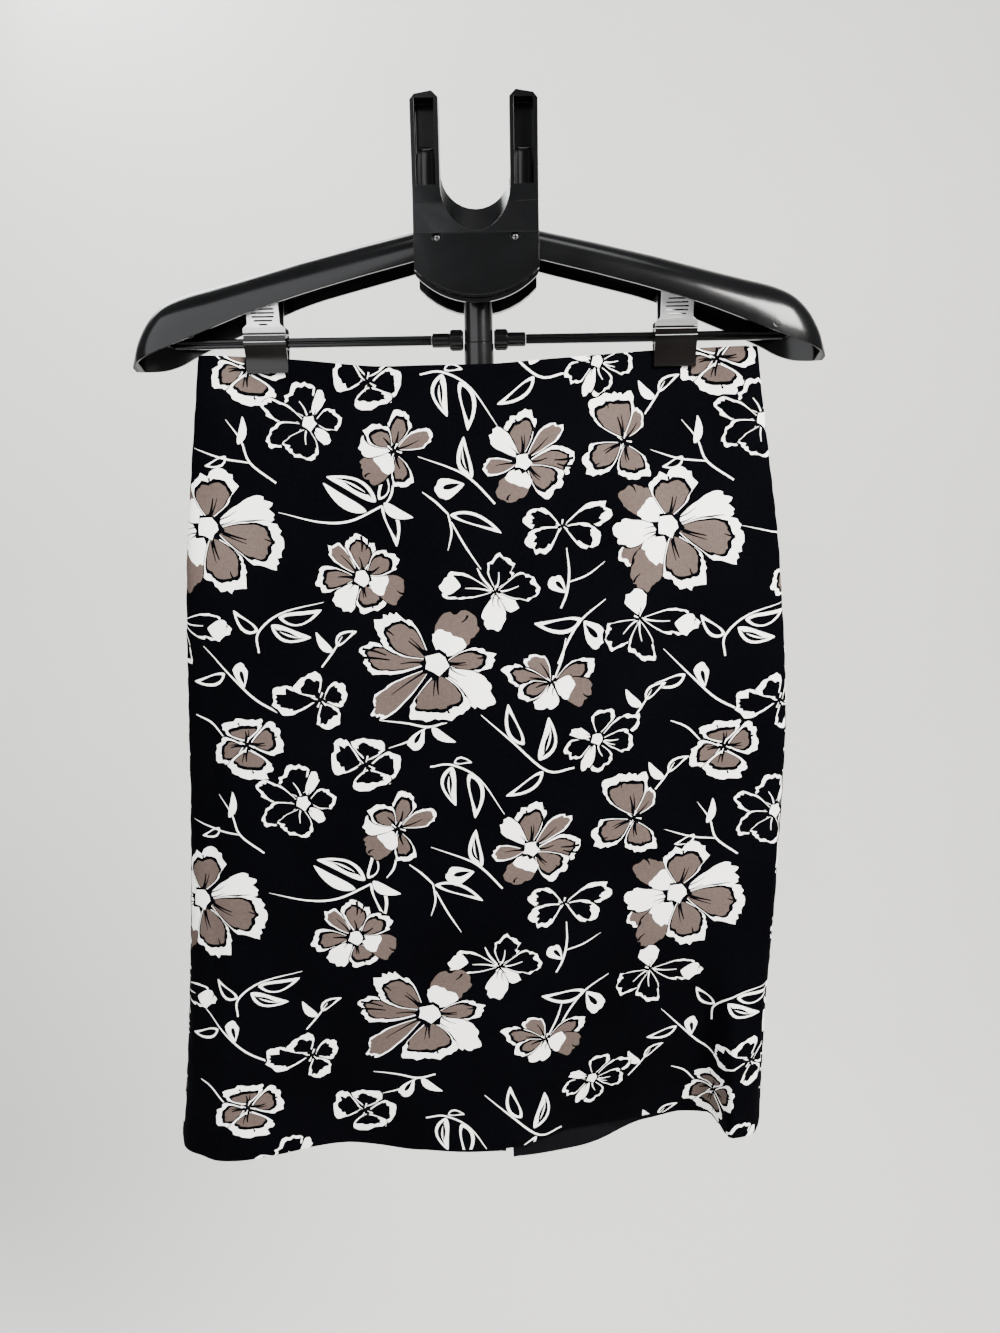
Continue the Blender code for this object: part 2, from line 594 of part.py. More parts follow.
def build_clip(name, centre):
    """A pinch clip on the rod: a steel finger plate and a jaw on each side."""
    half = CLIP_JAW_WIDTH / 2.0
    for side, face in (("front", 1.0), ("back", -1.0)):
        body_name = f"clip_{name}_{side}_"

        def side_prism(part, outline, low, high, spec=PLASTIC):
            turned = [(face * y, z) for y, z in outline]
            return prism(body_name + part, turned, "x", low, high, spec)

        strip = thick_strip(CLIP_PLATE, CLIP_PLATE_THICK)
        plate = side_prism("plate", strip, centre - half, centre + half, STEEL)
        reach = 2.0 * CLIP_JAW_WIDTH / 3.0
        shape = prism(body_name + "shape", finger_outline(centre), "y", -reach, reach, STEEL)
        combine(plate, shape, "INTERSECT")
        strip = thick_strip(CLIP_JAW, CLIP_JAW_THICK)
        jaw = side_prism("jaw", strip, centre - half, centre + half)
        inset = 0.0 if side == "front" else CLIP_EAR_INSET
        for end, way in (("in", -1.0), ("out", 1.0)):
            outer = centre + way * (half - inset)
            low, high = sorted((outer, outer - way * CLIP_EAR_THICK))
            combine(jaw, side_prism("ear_" + end, CLIP_EAR, low, high), "UNION")
        bore = arc((0.0, ROD_Z), CLIP_EAR_BORE, 0.0, 360.0 * 13 / 14, 13)
        tool = side_prism("bore", bore, centre - half - PAST, centre + half + PAST)
        combine(jaw, tool, "DIFFERENCE")


def build_hanger():
    build_fork()
    build_core()
    build_stem()
    for name, way in (("left", -1.0), ("right", 1.0)):
        build_arm(name, way)
        build_rod(name, way)
    for name, centre in CLIP_CENTRES:
        build_clip(name, centre)


clear_scene()
build_skirt()
build_hanger()
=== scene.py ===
"""Dresses the pencil skirt and its clip hanger for the render.

The cloth is drawn flat first. u runs across a panel and v down it, in
millimetres, and the print is cut into the flat cloth as outlines. The flat
cloth is then laid on the panel's own surface, with its creases. Motifs are
drawn in the units of the 1000 by 1333 picture, x to the right and y down.
"""

import math

import bmesh
import bpy
import numpy as np
from mathutils import Matrix, Vector, geometry


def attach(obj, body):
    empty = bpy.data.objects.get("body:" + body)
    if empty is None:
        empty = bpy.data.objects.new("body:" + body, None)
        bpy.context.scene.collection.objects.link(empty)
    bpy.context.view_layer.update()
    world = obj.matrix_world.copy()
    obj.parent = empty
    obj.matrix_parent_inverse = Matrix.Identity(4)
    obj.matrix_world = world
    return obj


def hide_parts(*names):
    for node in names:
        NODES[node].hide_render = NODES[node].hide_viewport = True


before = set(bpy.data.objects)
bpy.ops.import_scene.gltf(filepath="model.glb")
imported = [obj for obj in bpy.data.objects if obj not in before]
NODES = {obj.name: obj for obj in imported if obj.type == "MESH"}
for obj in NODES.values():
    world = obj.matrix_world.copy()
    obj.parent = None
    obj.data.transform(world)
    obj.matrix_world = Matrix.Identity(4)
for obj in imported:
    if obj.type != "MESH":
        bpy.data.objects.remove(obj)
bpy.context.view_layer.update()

MM = 0.001
GAP = 0.3                 # between two panels at a seam, in millimetres
SPEED_STEP = 0.002        # half the step over which a level is measured, in turns

# --- The cloth's shape, as in the CAD source ---------------------------------
TUBE_LEVELS = (
    # drop, left,   right, edge_y, round, seam
    (0.00, -189.4, 188.0, 0.0, 40.0, 0.02),
    (0.03, -191.5, 189.8, -1.0, 38.0, 0.02),
    (0.10, -195.4, 194.3, -6.0, 28.0, 0.02),
    (0.25, -203.7, 204.1, -14.0, 18.0, 0.03),
    (0.45, -208.9, 210.4, -20.0, 13.0, 0.05),
    (0.65, -216.4, 208.1, -20.0, 11.0, 0.06),
    (0.85, -228.8, 204.6, -14.0, 10.0, 0.08),
    (1.00, -241.5, 204.8, -6.0, 10.0, 0.09),
)
STATIONS = (-0.90, -0.83, -0.64, -0.40, -0.14, 0.12, 0.36, 0.62, 0.79, 0.90)
FRONT_DEPTH = (
    (0.00, -4.2, -1.3, -1.3, -6.2, -13.0, -13.0, -7.2, -1.3, -1.3, -4.2),
    (0.03, -5.0, -1.3, -1.3, -7.2, -14.2, -14.2, -8.2, -1.3, -1.3, -5.0),
    (0.10, -13.0, -11.0, -11.5, -17.5, -23.0, -23.0, -18.5, -11.0, -10.0, -12.0),
    (0.25, -27.0, -28.0, -31.0, -35.5, -39.5, -39.5, -36.5, -31.0, -28.0, -26.0),
    (0.45, -38.0, -42.0, -46.0, -49.0, -51.0, -50.0, -47.0, -42.0, -38.0, -34.0),
    (0.65, -42.0, -46.0, -49.0, -50.5, -50.5, -48.5, -43.5, -38.0, -33.0, -29.0),
    (0.85, -44.0, -47.5, -46.5, -41.5, -45.0, -44.0, -33.5, -22.0, -14.0, -11.0),
    (1.00, -46.0, -50.0, -44.5, -30.0, -42.0, -39.5, -20.0, -3.5, 1.0, -1.0),
)
BACK_DEPTH = (
    (0.00, 4.2, 1.3, 1.3, -3.2, -10.2, -10.2, -4.2, 1.3, 1.3, 4.2),
    (0.03, 4.6, 1.3, 1.3, -3.2, -10.2, -10.2, -4.2, 1.3, 1.3, 4.6),
    (0.10, 6.0, 5.0, 4.0, -2.0, -10.4, -10.4, -3.0, 4.0, 5.0, 6.0),
    (0.25, 4.0, 6.0, 8.0, 2.0, -11.0, -11.0, 1.0, 8.0, 6.0, 4.0),
    (0.45, -2.0, 3.0, 8.0, 3.0, -11.5, -11.5, 2.0, 8.0, 5.0, -1.0),
    (0.65, -4.0, 1.0, 6.0, 1.0, -12.0, -12.5, 0.0, 8.0, 7.0, 0.0),
    (0.85, 0.0, 4.0, 5.0, 0.0, -13.0, -17.0, -4.0, 12.0, 15.0, 8.0),
    (1.00, 3.0, 5.0, 2.0, -5.0, -16.5, -25.0, -15.0, 17.0, 25.0, 19.0),
)
EDGE_STATIONS = (-1.0, -0.90, -0.66, -0.30, 0.00, 0.30, 0.66, 0.90, 1.0)
WAIST_Z = (40.5, 39.8, 37.0, 30.8, 30.8, 34.4, 39.2, 40.3, 40.5)
FRONT_HEM_Z = (-540.0, -536.5, -533.6, -533.6, -533.6, -533.6, -533.6, -536.5, -540.0)
BACK_HEM_Z = (-540.0, -543.0, -548.0, -551.5, -551.5, -551.5, -551.0, -545.0, -540.0)
FOLD_START = 0.58
FOLD_DEPTH = 35.0
FOLD_PLACE = ((0.0, 0.76), (0.6, 0.78), (0.85, 0.838), (1.0, 0.857))
FOLD_WIDTH = ((0.0, 60.0), (0.58, 60.0), (0.8, 26.0), (1.0, 11.0))
FOLD_GROWTH = 1.4
CENTRE_BACK = ((0.0, 0.005), (0.5, 0.02), (1.0, 0.145))
SLIT_START = 0.77
SLIT_OPEN = 5.0
SLIT_LAP = 7.0
SLIT_REACH = 0.16

# --- The hanger's shape, as in the CAD source ---------------------------------
ARM_WALL = 2.4
ARM_SQUARENESS = 0.85
ARM_SECTIONS = (
    # x,    top,   half_depth, front_lip, back_lip
    (23.8, 120.0, 16.5, 99.0, 98.0),
    (42.0, 115.0, 17.0, 94.5, 92.5),
    (80.0, 106.7, 17.6, 85.0, 83.2),
    (115.0, 98.5, 18.2, 75.5, 73.8),
    (150.0, 89.4, 19.0, 64.6, 60.2),
    (175.0, 83.2, 19.0, 55.2, 49.8),
    (193.0, 78.8, 18.6, 48.6, 41.8),
    (206.0, 73.8, 17.4, 44.2, 35.0),
    (217.0, 65.0, 14.8, 40.5, 31.8),
    (226.0, 51.5, 10.0, 36.8, 31.0),
    (232.0, 36.0, 3.0, 32.6, 30.8),
)
ARM_ROWS, ARM_ARCH = 56, 30
RIB = (203.3, 206.3)
RIB_OUTLINE = ((-15.6, 45.0), (15.6, 45.0), (14.5, 56.0), (9.0, 63.0), (-9.0, 63.0), (-14.5, 56.0))
PLATE_HALF_WIDTH = 40.0
PLATE_BOTTOM = 71.0
PLATE_CORNER = 88.5
PLATE_FRONT = -24.0
SHOULDER_LOW, SHOULDER_HIGH = 110.0, 129.0
PRONG_FRONT = -20.5
NOTCH_RADIUS, NOTCH_CENTRE, NOTCH_BEND, NOTCH_FLARE = 22.3, 149.0, -12.0, 15.9
POCKET_X = (25.0, 37.2)
POCKET_LOW, POCKET_FLOOR = 139.5, -9.0
SCREW_X, SCREW_Z, SCREW_FLOOR = 25.0, 107.5, -21.4
ROD_Z = 47.5
CLIP_CENTRES = (("left", -142.0), ("right", 131.3))
CLIP_FINGER_WIDTH = 21.5
CLIP_JAW_WIDTH = 28.0
CLIP_SHOULDERS = (56.0, 59.5)
CLIP_PLATE = ((-6.9, 53.7), (-7.6, 57.0), (-10.6, 77.5))
CLIP_PLATE_THICK = 1.0

# --- The hanger's small forms, which only the scene has, in millimetres ----------
WAYS = (("left", -1.0), ("right", 1.0))
RIDGE = 0.34                                   # radius of a moulded ridge
HUB_LIP = (-22.6, -18.7)                       # y of the second lip, under the front plate
HUB_LIP_DROP, HUB_LIP_INSET, HUB_LIP_GAP = 2.9, 0.6, 0.05
SCREW_HEAD = ((0.0, 2.55), (-0.35, 2.5), (-0.75, 2.1), (-1.0, 1.3), (-1.06, 0.4))   # y, radius
# The cross recess of a screw, drawn as a black box that paints its shade: half length, half width, y range.
CROSS_LONG, CROSS_WIDE, CROSS_DEPTH = 1.5, 0.28, (-1.12, -0.4)
POCKET_FORM_TALL, POCKET_FORM_PROUD = 25.0, 2.6
MARK_RADIUS, MARK_THICK, MARK_TALL = 2.3, 0.42, 0.30      # a moulded ring on each arm
MARK_PLACES = {"left": (190.0, 337.0), "right": (777.0, 323.0)}     # in the picture
PLATE_ROUND = 2.6                              # radius of a steel plate's top corners
JAW_HALF = CLIP_JAW_WIDTH / 2.0 - 0.1
JAW_BAND = ((-6.6, 52.5), (-7.5, 52.1), (-7.85, 50.9), (-7.9, 49.2), (-7.6, 48.0), (-6.7, 47.5))
JAW_FOOT = ((-3.35, 28.1), (-3.95, 28.3), (-4.1, 29.3), (-3.9, 30.1), (-3.35, 30.2))
JAW_HIGHLIGHT_LINES = ((52.05, -7.55), (47.85, -7.45))   # bright steel lines along the two rounded edges of a jaw's band, painted highlights: z, y
SLOT_CENTRE, SLOT_PATCH = 65.9, 7.8            # the round patch of grip slots in a steel plate
SLOT_STEP, SLOT_TALL = 2.4, 1.05
RIB_X = (11.3, 18.4)                           # the grip ribs round each connector
RIB_PROFILE = ((6.2, -0.55), (6.85, -0.4), (6.85, 0.4), (6.2, 0.55))
RIB_COUNT = 14

# --- How the shells are made --------------------------------------------------
CLOTH = 1.0              # thickness of the cloth
LENGTH = 575.0           # length of a panel, so that v is drop times LENGTH
GRID_ROWS, FRONT_GRID, BACK_GRID = 240, 420, 260
FRONT_STEPS, FORE_STEPS, REAR_STEPS = 500, 60, 600    # points along one level
WIDEST_STEP = 6.0        # spacing of a shell's points where it is flat
BEND_STEP = 0.10         # turn of the surface between neighbouring points
WELD = 0.004             # points of the flat cloth that are nearer than this are one
HEM = 22.0               # depth of the turned-up hem
HEM_FOLD = 0.7           # how far it stands proud of the cloth's inner side
HEM_RISE = 0.6           # the stretch of v over which it rises to that
HEM_POINTS = 2.5         # spacing of the points along it
INNER_COARSE, INNER_MARGIN = 1.5, 2.5    # the inside's points, beside those of the outside
STITCH_ROW = LENGTH - HEM
BLACK, WHITE, TAUPE, INSIDE = range(4)   # the material of a face of cloth

# --- The camera, which also places the motifs ---------------------------------
LENS = 27.0
SENSOR = 36.0
PICTURE = (1000.0, 1333.0)
FOCAL = PICTURE[1] * LENS / SENSOR
CAMERA_PLACE = (0.0104, -0.700, -0.0359)
CAMERA_DROP, CAMERA_ROLL = 0.2, 1.0      # its slope down, and its roll in degrees
PRINT_SCALE = 0.67       # millimetres of cloth for one unit of the picture


def ease(x):
    """0 up to 0 and 1 from 1 on, and smooth between."""
    x = np.clip(x, 0.0, 1.0)
    return x * x * (3.0 - 2.0 * x)


def curve_through(knots, values, x):
    """Smooth curve through table rows that never overshoots them."""
    knots = np.asarray(knots, float)
    values = np.asarray(values, float)
    step = np.diff(knots).reshape((-1,) + (1,) * (values.ndim - 1))
    slope = np.diff(values, axis=0) / step
    before, after = slope[:-1], slope[1:]
    same_way = before * after > 0.0
    total = np.where(same_way, before + after, 1.0)
    inner = np.where(same_way, 2.0 * before * after / total, 0.0)
    tangent = np.concatenate([slope[:1], inner, slope[-1:]])
    x = np.clip(np.asarray(x, float), knots[0], knots[-1])
    i = np.clip(np.searchsorted(knots, x, side="right") - 1, 0, len(knots) - 2)
    width = knots[i + 1] - knots[i]
    s = (x - knots[i]) / width
    if values.ndim > 1 and x.ndim > 0:
        s, width = s[..., None], width[..., None]
    return ((1 + 2 * s) * (1 - s) ** 2 * values[i] + s * (1 - s) ** 2 * width * tangent[i]
            + s * s * (3 - 2 * s) * values[i + 1] - s * s * (1 - s) * width * tangent[i + 1])


def column(table, drop, index=1):
    rows = np.asarray(table, float)
    return curve_through(rows[:, 0], rows[:, index], drop)


def tube_edges(drop):
    rows = np.asarray(TUBE_LEVELS, float)
    return curve_through(rows[:, 0], rows[:, 1:], drop)


def across(turn):
    return np.sin(np.asarray(turn, float) * math.pi / 2.0)


def turn_of(place):
    return math.asin(place) * 2.0 / math.pi


def slit_share(drop):
    return ease((drop - SLIT_START) / (1.0 - SLIT_START))


def cloth_points(side, turns, drop):
    """Points of the outside of the cloth along one level, in millimetres."""
    left, right, edge_y, roundness, _ = tube_edges(drop)
    w = across(turns)
    x = (left + right) / 2.0 + w * (right - left) / 2.0
    table = np.asarray(FRONT_DEPTH if side == "front" else BACK_DEPTH, float)
    level = curve_through(table[:, 0], table[:, 1:], drop)
    depth = curve_through(STATIONS, level, w)
    if side == "front":
        amount = FOLD_DEPTH * ease((drop - FOLD_START) / (1.0 - FOLD_START)) ** FOLD_GROWTH
        width = column(FOLD_WIDTH, drop) / (right - left)
        depth = depth - amount * ease(0.5 + (w - column(FOLD_PLACE, drop)) / (2.0 * width))
        hem = FRONT_HEM_Z
    else:
        hem = BACK_HEM_Z
    if side == "back_left":
        beside = np.exp(-((w - column(CENTRE_BACK, drop)) / SLIT_REACH) ** 2)
        depth = depth + SLIT_LAP * slit_share(drop) * beside
    fullness = np.sqrt(np.clip(1.0 - np.abs(w) ** roundness, 0.0, 1.0))
    y = edge_y + (depth - edge_y) * fullness
    top = curve_through(EDGE_STATIONS, WAIST_Z, w)
    bottom = curve_through(EDGE_STATIONS, hem, w)
    return np.stack([x, y, top + (bottom - top) * drop], axis=-1)


def shift_turn(side, turn, drop, distance):
    """The turn that lies a distance along the cloth from another."""
    near = cloth_points(side, np.array([turn - SPEED_STEP, turn + SPEED_STEP]), drop)
    speed = np.linalg.norm(near[1] - near[0]) / (2.0 * SPEED_STEP)
    return turn + distance / speed


def seam_turn(drop):
    return 1.0 - tube_edges(drop)[4]


def panel_line(side, drop):
    """Points along one level of a panel, from its left to its right as seen
    from outside, and the index of the point that u is counted from."""
    seam = seam_turn(drop)
    if side == "front":
        low = shift_turn("front", -seam, drop, GAP / 2.0)
        high = shift_turn("front", seam, drop, -GAP / 2.0)
        turns = [np.linspace(low, 0.0, FRONT_STEPS), np.linspace(0.0, high, FRONT_STEPS)[1:]]
        return cloth_points("front", np.concatenate(turns), drop), FRONT_STEPS - 1
    way = -1.0 if side == "back_left" else 1.0
    start = shift_turn("front", way * seam, drop, way * GAP / 2.0)
    opening = GAP / 2.0 + (SLIT_OPEN * slit_share(drop) if side == "back_left" else 0.0)
    centre = shift_turn(side, turn_of(column(CENTRE_BACK, drop)), drop, way * opening)
    fore = cloth_points("front", np.linspace(start, way, FORE_STEPS), drop)
    rear = cloth_points(side, np.linspace(way, centre, REAR_STEPS)[1:], drop)
    line = np.concatenate([fore, rear])
    return (line, 0) if side == "back_right" else (line[::-1], len(line) - 1)


class Panel:
    """One cut piece of the skirt: its points on a grid, and its flat edges."""

    def __init__(self, name, side, columns):
        self.name, self.columns = name, columns
        points, left, right = [], [], []
        for row in range(GRID_ROWS + 1):
            line, zero = panel_line(side, row / GRID_ROWS)
            run = np.concatenate([[0.0], np.cumsum(np.linalg.norm(np.diff(line, axis=0), axis=1))])
            places = np.linspace(0.0, run[-1], columns + 1)
            points.append(np.stack([np.interp(places, run, line[:, k]) for k in range(3)], axis=1))
            left.append(-run[zero])
            right.append(run[-1] - run[zero])
        self.base = np.array(points)
        self.left, self.right = np.array(left), np.array(right)
        share = np.linspace(0.0, 1.0, columns + 1)[None, :]
        self.u = self.left[:, None] + (self.right - self.left)[:, None] * share
        self.v = np.repeat(np.linspace(0.0, LENGTH, GRID_ROWS + 1)[:, None], columns + 1, axis=1)
        self.normals = self.normals_of(self.base)
        self.surface = self.base

    @staticmethod
    def normals_of(points):
        normal = np.cross(np.gradient(points, axis=0), np.gradient(points, axis=1))
        return normal / np.linalg.norm(normal, axis=2, keepdims=True)

    def crease(self, height):
        """Moves the surface along its normals, before the shells are cut."""
        self.surface = self.base + self.normals * height[..., None]
        self.normals = self.normals_of(self.surface)

    def edges_at(self, v):
        rows = np.linspace(0.0, LENGTH, GRID_ROWS + 1)
        return np.interp(v, rows, self.left), np.interp(v, rows, self.right)

    def sample(self, grid, uv):
        """Values of a grid at flat points, even between its own points."""
        left, right = self.edges_at(uv[:, 1])
        row = np.clip(uv[:, 1] / LENGTH, 0.0, 1.0) * GRID_ROWS
        place = np.clip((uv[:, 0] - left) / (right - left), 0.0, 1.0) * self.columns
        i = np.minimum(row.astype(int), GRID_ROWS - 1)
        j = np.minimum(place.astype(int), self.columns - 1)
        f, g = (row - i)[:, None], (place - j)[:, None]
        return (grid[i, j] * (1 - f) * (1 - g) + grid[i, j + 1] * (1 - f) * g
                + grid[i + 1, j] * f * (1 - g) + grid[i + 1, j + 1] * f * g)

    def outline(self, step=4.0):
        """The panel's flat outline as a ring of (u, v)."""
        def along(row, start, end):
            count = int((self.right[row] - self.left[row]) / step)
            places = np.linspace(start[row], end[row], count + 1)[:-1]
            return [(u, LENGTH * row / GRID_ROWS) for u in places]

        def down(edge, rows):
            return [(edge[row], LENGTH * row / GRID_ROWS) for row in rows]

        return np.array(along(0, self.left, self.right) + down(self.right, range(0, GRID_ROWS, 2))
                        + along(GRID_ROWS, self.right, self.left)
                        + down(self.left, range(GRID_ROWS, 0, -2)))

    def inner_points(self, coarse=1.0, margin=1.2):
        """Points (u, v) inside the panel, closer together where it bends."""
        found = []
        for k, row in enumerate(range(2, GRID_ROWS - 1, 2)):
            u, normal = self.u[row], self.normals[row]
            bend = np.linalg.norm(np.diff(normal, axis=0), axis=1) / np.diff(u)
            dense = np.clip(bend / BEND_STEP, 1.0 / WIDEST_STEP, 1.0) / coarse
            count = np.concatenate([[0.0], np.cumsum(dense * np.diff(u))])
            wanted = np.arange(0.25 + 0.5 * (k % 2), count[-1], 1.0)
            places = np.interp(wanted, count, u)
            places = places[(places > u[0] + margin) & (places < u[-1] - margin)]
            found += [(p, LENGTH * row / GRID_ROWS) for p in places]
        return np.array(found)


def inside(points, ring, block=4000):
    """Which points lie inside a ring, by counting the edges to their right."""
    a, b = ring, np.roll(ring, -1, axis=0)
    lean = (b[:, 0] - a[:, 0]) / np.where(b[:, 1] == a[:, 1], 1.0, b[:, 1] - a[:, 1])
    found = []
    for start in range(0, len(points), block):
        x, y = points[start:start + block, 0:1], points[start:start + block, 1:2]
        over = (a[:, 1] > y) != (b[:, 1] > y)
        meet = a[:, 0] + (y - a[:, 1]) * lean
        found.append(np.sum(over & (x < meet), axis=1) % 2 == 1)
    return np.concatenate(found)


def cut_flat(outline, extra, shapes):
    """Triangulates the flat panel along its print. Returns the points, the
    triangles and each triangle's colour."""
    points, edges = [], []
    for ring in [outline] + [ring for ring, _ in shapes]:
        start, count = len(points), len(ring)
        points += [Vector(p) for p in ring]
        edges += [(start + i, start + (i + 1) % count) for i in range(count)]
    points += [Vector(p) for p in extra]
    made = geometry.delaunay_2d_cdt(points, edges, [], 0, WELD, False)
    places = np.array([tuple(p) for p in made[0]])
    triangles = np.array([f for f in made[2] if len(f) == 3])
    middles = places[triangles].mean(axis=1)
    kept = inside(middles, outline)
    triangles, middles = triangles[kept], middles[kept]
    colours = np.zeros(len(triangles), int)
    order = np.argsort(middles[:, 1])
    heights = middles[order, 1]
    for ring, colour in shapes:
        low, high = ring.min(axis=0), ring.max(axis=0)
        first, last = np.searchsorted(heights, [low[1], high[1]])
        near = order[first:last]
        near = near[(middles[near, 0] >= low[0]) & (middles[near, 0] <= high[0])]
        if len(near):
            colours[near[inside(middles[near], ring)]] = colour
    used, flat = np.unique(triangles, return_inverse=True)
    return places[used], flat.reshape(-1, 3), colours


def open_edges(sides):
    """The directed edges that no neighbour runs the other way."""
    kept = {}
    for a, b in sides:
        if (b, a) in kept:
            del kept[(b, a)]
        else:
            kept[(a, b)] = True
    return list(kept)


def edge_loop(triangles):
    """The one closed loop of edges that have a triangle on one side only."""
    sides = np.concatenate([triangles[:, [0, 1]], triangles[:, [1, 2]], triangles[:, [2, 0]]])
    after = dict(open_edges(sides.tolist()))
    start = next(iter(after))
    loop, here = [start], after[start]
    while here != start:
        loop.append(here)
        here = after[here]
    return loop


def thickened(points, faces, moved):
    """A sheet of faces, closed with a moved copy of itself."""
    count = len(points)
    sides = [(face[k], face[(k + 1) % len(face)]) for face in faces for k in range(len(face))]
    closed = faces + [[corner + count for corner in reversed(face)] for face in faces]
    closed += [(b, a, a + count, b + count) for a, b in open_edges(sides)]
    return points + moved, closed


def rows_of_faces(rows, across_row, closed=True):
    """The faces between rows of points, each row a ring or an open line."""
    faces = []
    for low in range(0, rows * across_row, across_row):
        for k in range(across_row if closed else across_row - 1):
            j = (k + 1) % across_row
            faces.append((low + k, low + j, low + across_row + j, low + across_row + k))
    return faces


def add_object(name, data):
    made = bpy.data.objects.new(name, data)
    bpy.context.scene.collection.objects.link(made)
    return made


def facing_out(flat, triangles):
    """Turns triangles so that they are clockwise in u, v, which faces out."""
    a, b, c = (flat[triangles[:, k]] for k in range(3))
    area = (b[:, 0] - a[:, 0]) * (c[:, 1] - a[:, 1]) - (b[:, 1] - a[:, 1]) * (c[:, 0] - a[:, 0])
    turned = triangles.copy()
    turned[area > 0.0] = turned[area > 0.0][:, ::-1]
    return turned


def build_panel(panel, shapes, materials):
    """The shell of a panel: printed outside, a plain inside, a closed edge."""
    flat, triangles, colours = cut_flat(panel.outline(), panel.inner_points(), shapes)
    triangles = facing_out(flat, triangles)
    loop = edge_loop(triangles)
    ring = flat[loop]
    across_hem = np.arange(panel.left[-1] + 3.0, panel.right[-1] - 3.0, HEM_POINTS)
    hem_edge = [(u, STITCH_ROW + side) for u in across_hem for side in (-0.35, 0.35)]
    back_extra = np.concatenate([panel.inner_points(INNER_COARSE, INNER_MARGIN), hem_edge])
    back_flat, back_triangles, _ = cut_flat(ring, back_extra, [])
    back_triangles = facing_out(back_flat, back_triangles)
    shift = len(flat)
    outer_normals = panel.sample(panel.normals, flat)
    inner_normals = panel.sample(panel.normals, back_flat)
    thick = CLOTH + HEM_FOLD * ease((back_flat[:, 1] - STITCH_ROW) / HEM_RISE + 0.5)
    inner = panel.sample(panel.surface, back_flat) - inner_normals * thick[:, None]
    near = {tuple(np.round(back_flat[i], 3)): i + shift for i in edge_loop(back_triangles)}
    under = [near[tuple(np.round(place, 3))] for place in ring]
    faces = triangles.tolist() + (back_triangles[:, ::-1] + shift).tolist()
    faces += zip(loop[1:] + loop[:1], loop, under, under[1:] + under[:1])
    mesh = bpy.data.meshes.new(panel.name)
    points = np.concatenate([panel.sample(panel.surface, flat), inner]) * MM
    mesh.from_pydata(points.tolist(), [], faces)
    slots = colours.tolist() + [INSIDE] * (len(faces) - len(colours))
    mesh.polygons.foreach_set("material_index", slots)
    mesh.polygons.foreach_set("use_smooth", [True] * len(faces))
    corners = np.zeros(len(mesh.loops), int)
    mesh.loops.foreach_get("vertex_index", corners)
    flats = np.concatenate([flat, back_flat]) * MM
    layer = mesh.uv_layers.new(name="cloth")
    layer.data.foreach_set("uv", flats[corners].astype(np.float32).ravel())
    normals = np.concatenate([outer_normals, -inner_normals])
    normals = (normals / np.linalg.norm(normals, axis=1, keepdims=True))[corners]
    normals[-4 * len(loop):] = 0.0       # the closed edge keeps its faces' own normals
    mesh.normals_split_custom_set(normals.tolist())
    for material in materials:
        mesh.materials.append(material)
    return add_object(panel.name, mesh)


# --- Drawing the print ---------------------------------------------------------
def wobble(seed, k):
    """A number from 0 to 1 that looks random and is the same in every run."""
    value = math.sin(seed * 12.9898 + k * 78.233) * 43758.5453
    return value - math.floor(value)


def turned(ring, angle, centre=(0.0, 0.0)):
    c, s = math.cos(angle), math.sin(angle)
    x = ring[:, 0] * c - ring[:, 1] * s + centre[0]
    y = ring[:, 0] * s + ring[:, 1] * c + centre[1]
    return np.stack([x, y], axis=1)


def petal_ring(length, width, inset, seed, lobes=3, wave=0.07, shorten=0.0, rough=0.0):
    """Outline of a petal from its base at 0, 0 to its tip on +x. Its far part
    is lobed by `wave` and ragged by `rough`, and the whole leans a little."""
    count = int(np.clip((length + width) / 1.9, 14, 50))
    a = np.linspace(0.0, 2.0 * math.pi, count, endpoint=False)
    x = 0.5 - 0.5 * np.cos(a)
    y = np.sin(a) * (0.16 + 0.70 * x - 0.24 * x * x)
    weight = ease((x - 0.20) / 0.55)
    phase = 6.28 * wobble(seed, 1)
    ripple = 0.55 * np.sin(lobes * a + phase) + 0.30 * np.sin((2 * lobes + 1) * a + 2.0 * phase)
    ripple = ripple + 0.45 * (np.abs(np.sin((1.5 * lobes + 1.0) * a + phase)) - 0.6)
    grain = np.array([wobble(seed + 0.37 * inset, i + 5) - 0.5 for i in range(count)])
    grow = 1.0 + (wave * ripple + rough * grain) * weight
    x, y = 0.45 + (x - 0.45) * grow, y * grow
    lean = (wobble(seed, 2) - 0.5) * 0.30
    long, wide = max(length - 1.35 * inset - shorten, 2.0), max(width - 2.0 * inset, 1.2)
    return np.stack([0.35 * inset + x * long, y * wide + lean * width * x * x], axis=1)


def smooth_line(points, per_step=5):
    """A smooth line through a few points."""
    p = np.asarray(points, float)
    p = np.concatenate([[2 * p[0] - p[1]], p, [2 * p[-1] - p[-2]]])
    line = []
    for i in range(1, len(p) - 2):
        for t in np.linspace(0.0, 1.0, per_step, endpoint=False):
            line.append(0.5 * ((2 * p[i]) + (p[i + 1] - p[i - 1]) * t
                               + (2 * p[i - 1] - 5 * p[i] + 4 * p[i + 1] - p[i + 2]) * t * t
                               + (3 * p[i] - p[i - 1] - 3 * p[i + 1] + p[i + 2]) * t ** 3))
    line.append(p[-2])
    return np.array(line)


def stroke(points, start, end, belly=0.0, per_step=5):
    """A tapered brush stroke along a smooth line."""
    line = smooth_line(points, per_step)
    t = np.linspace(0.0, 1.0, len(line))
    half = 0.5 * (start + (end - start) * t + belly * np.sin(math.pi * t))
    way = np.gradient(line, axis=0)
    way /= np.maximum(np.linalg.norm(way, axis=1, keepdims=True), 1e-6)
    side = np.stack([-way[:, 1], way[:, 0]], axis=1) * half[:, None]
    return np.concatenate([line + side, (line - side)[::-1]])


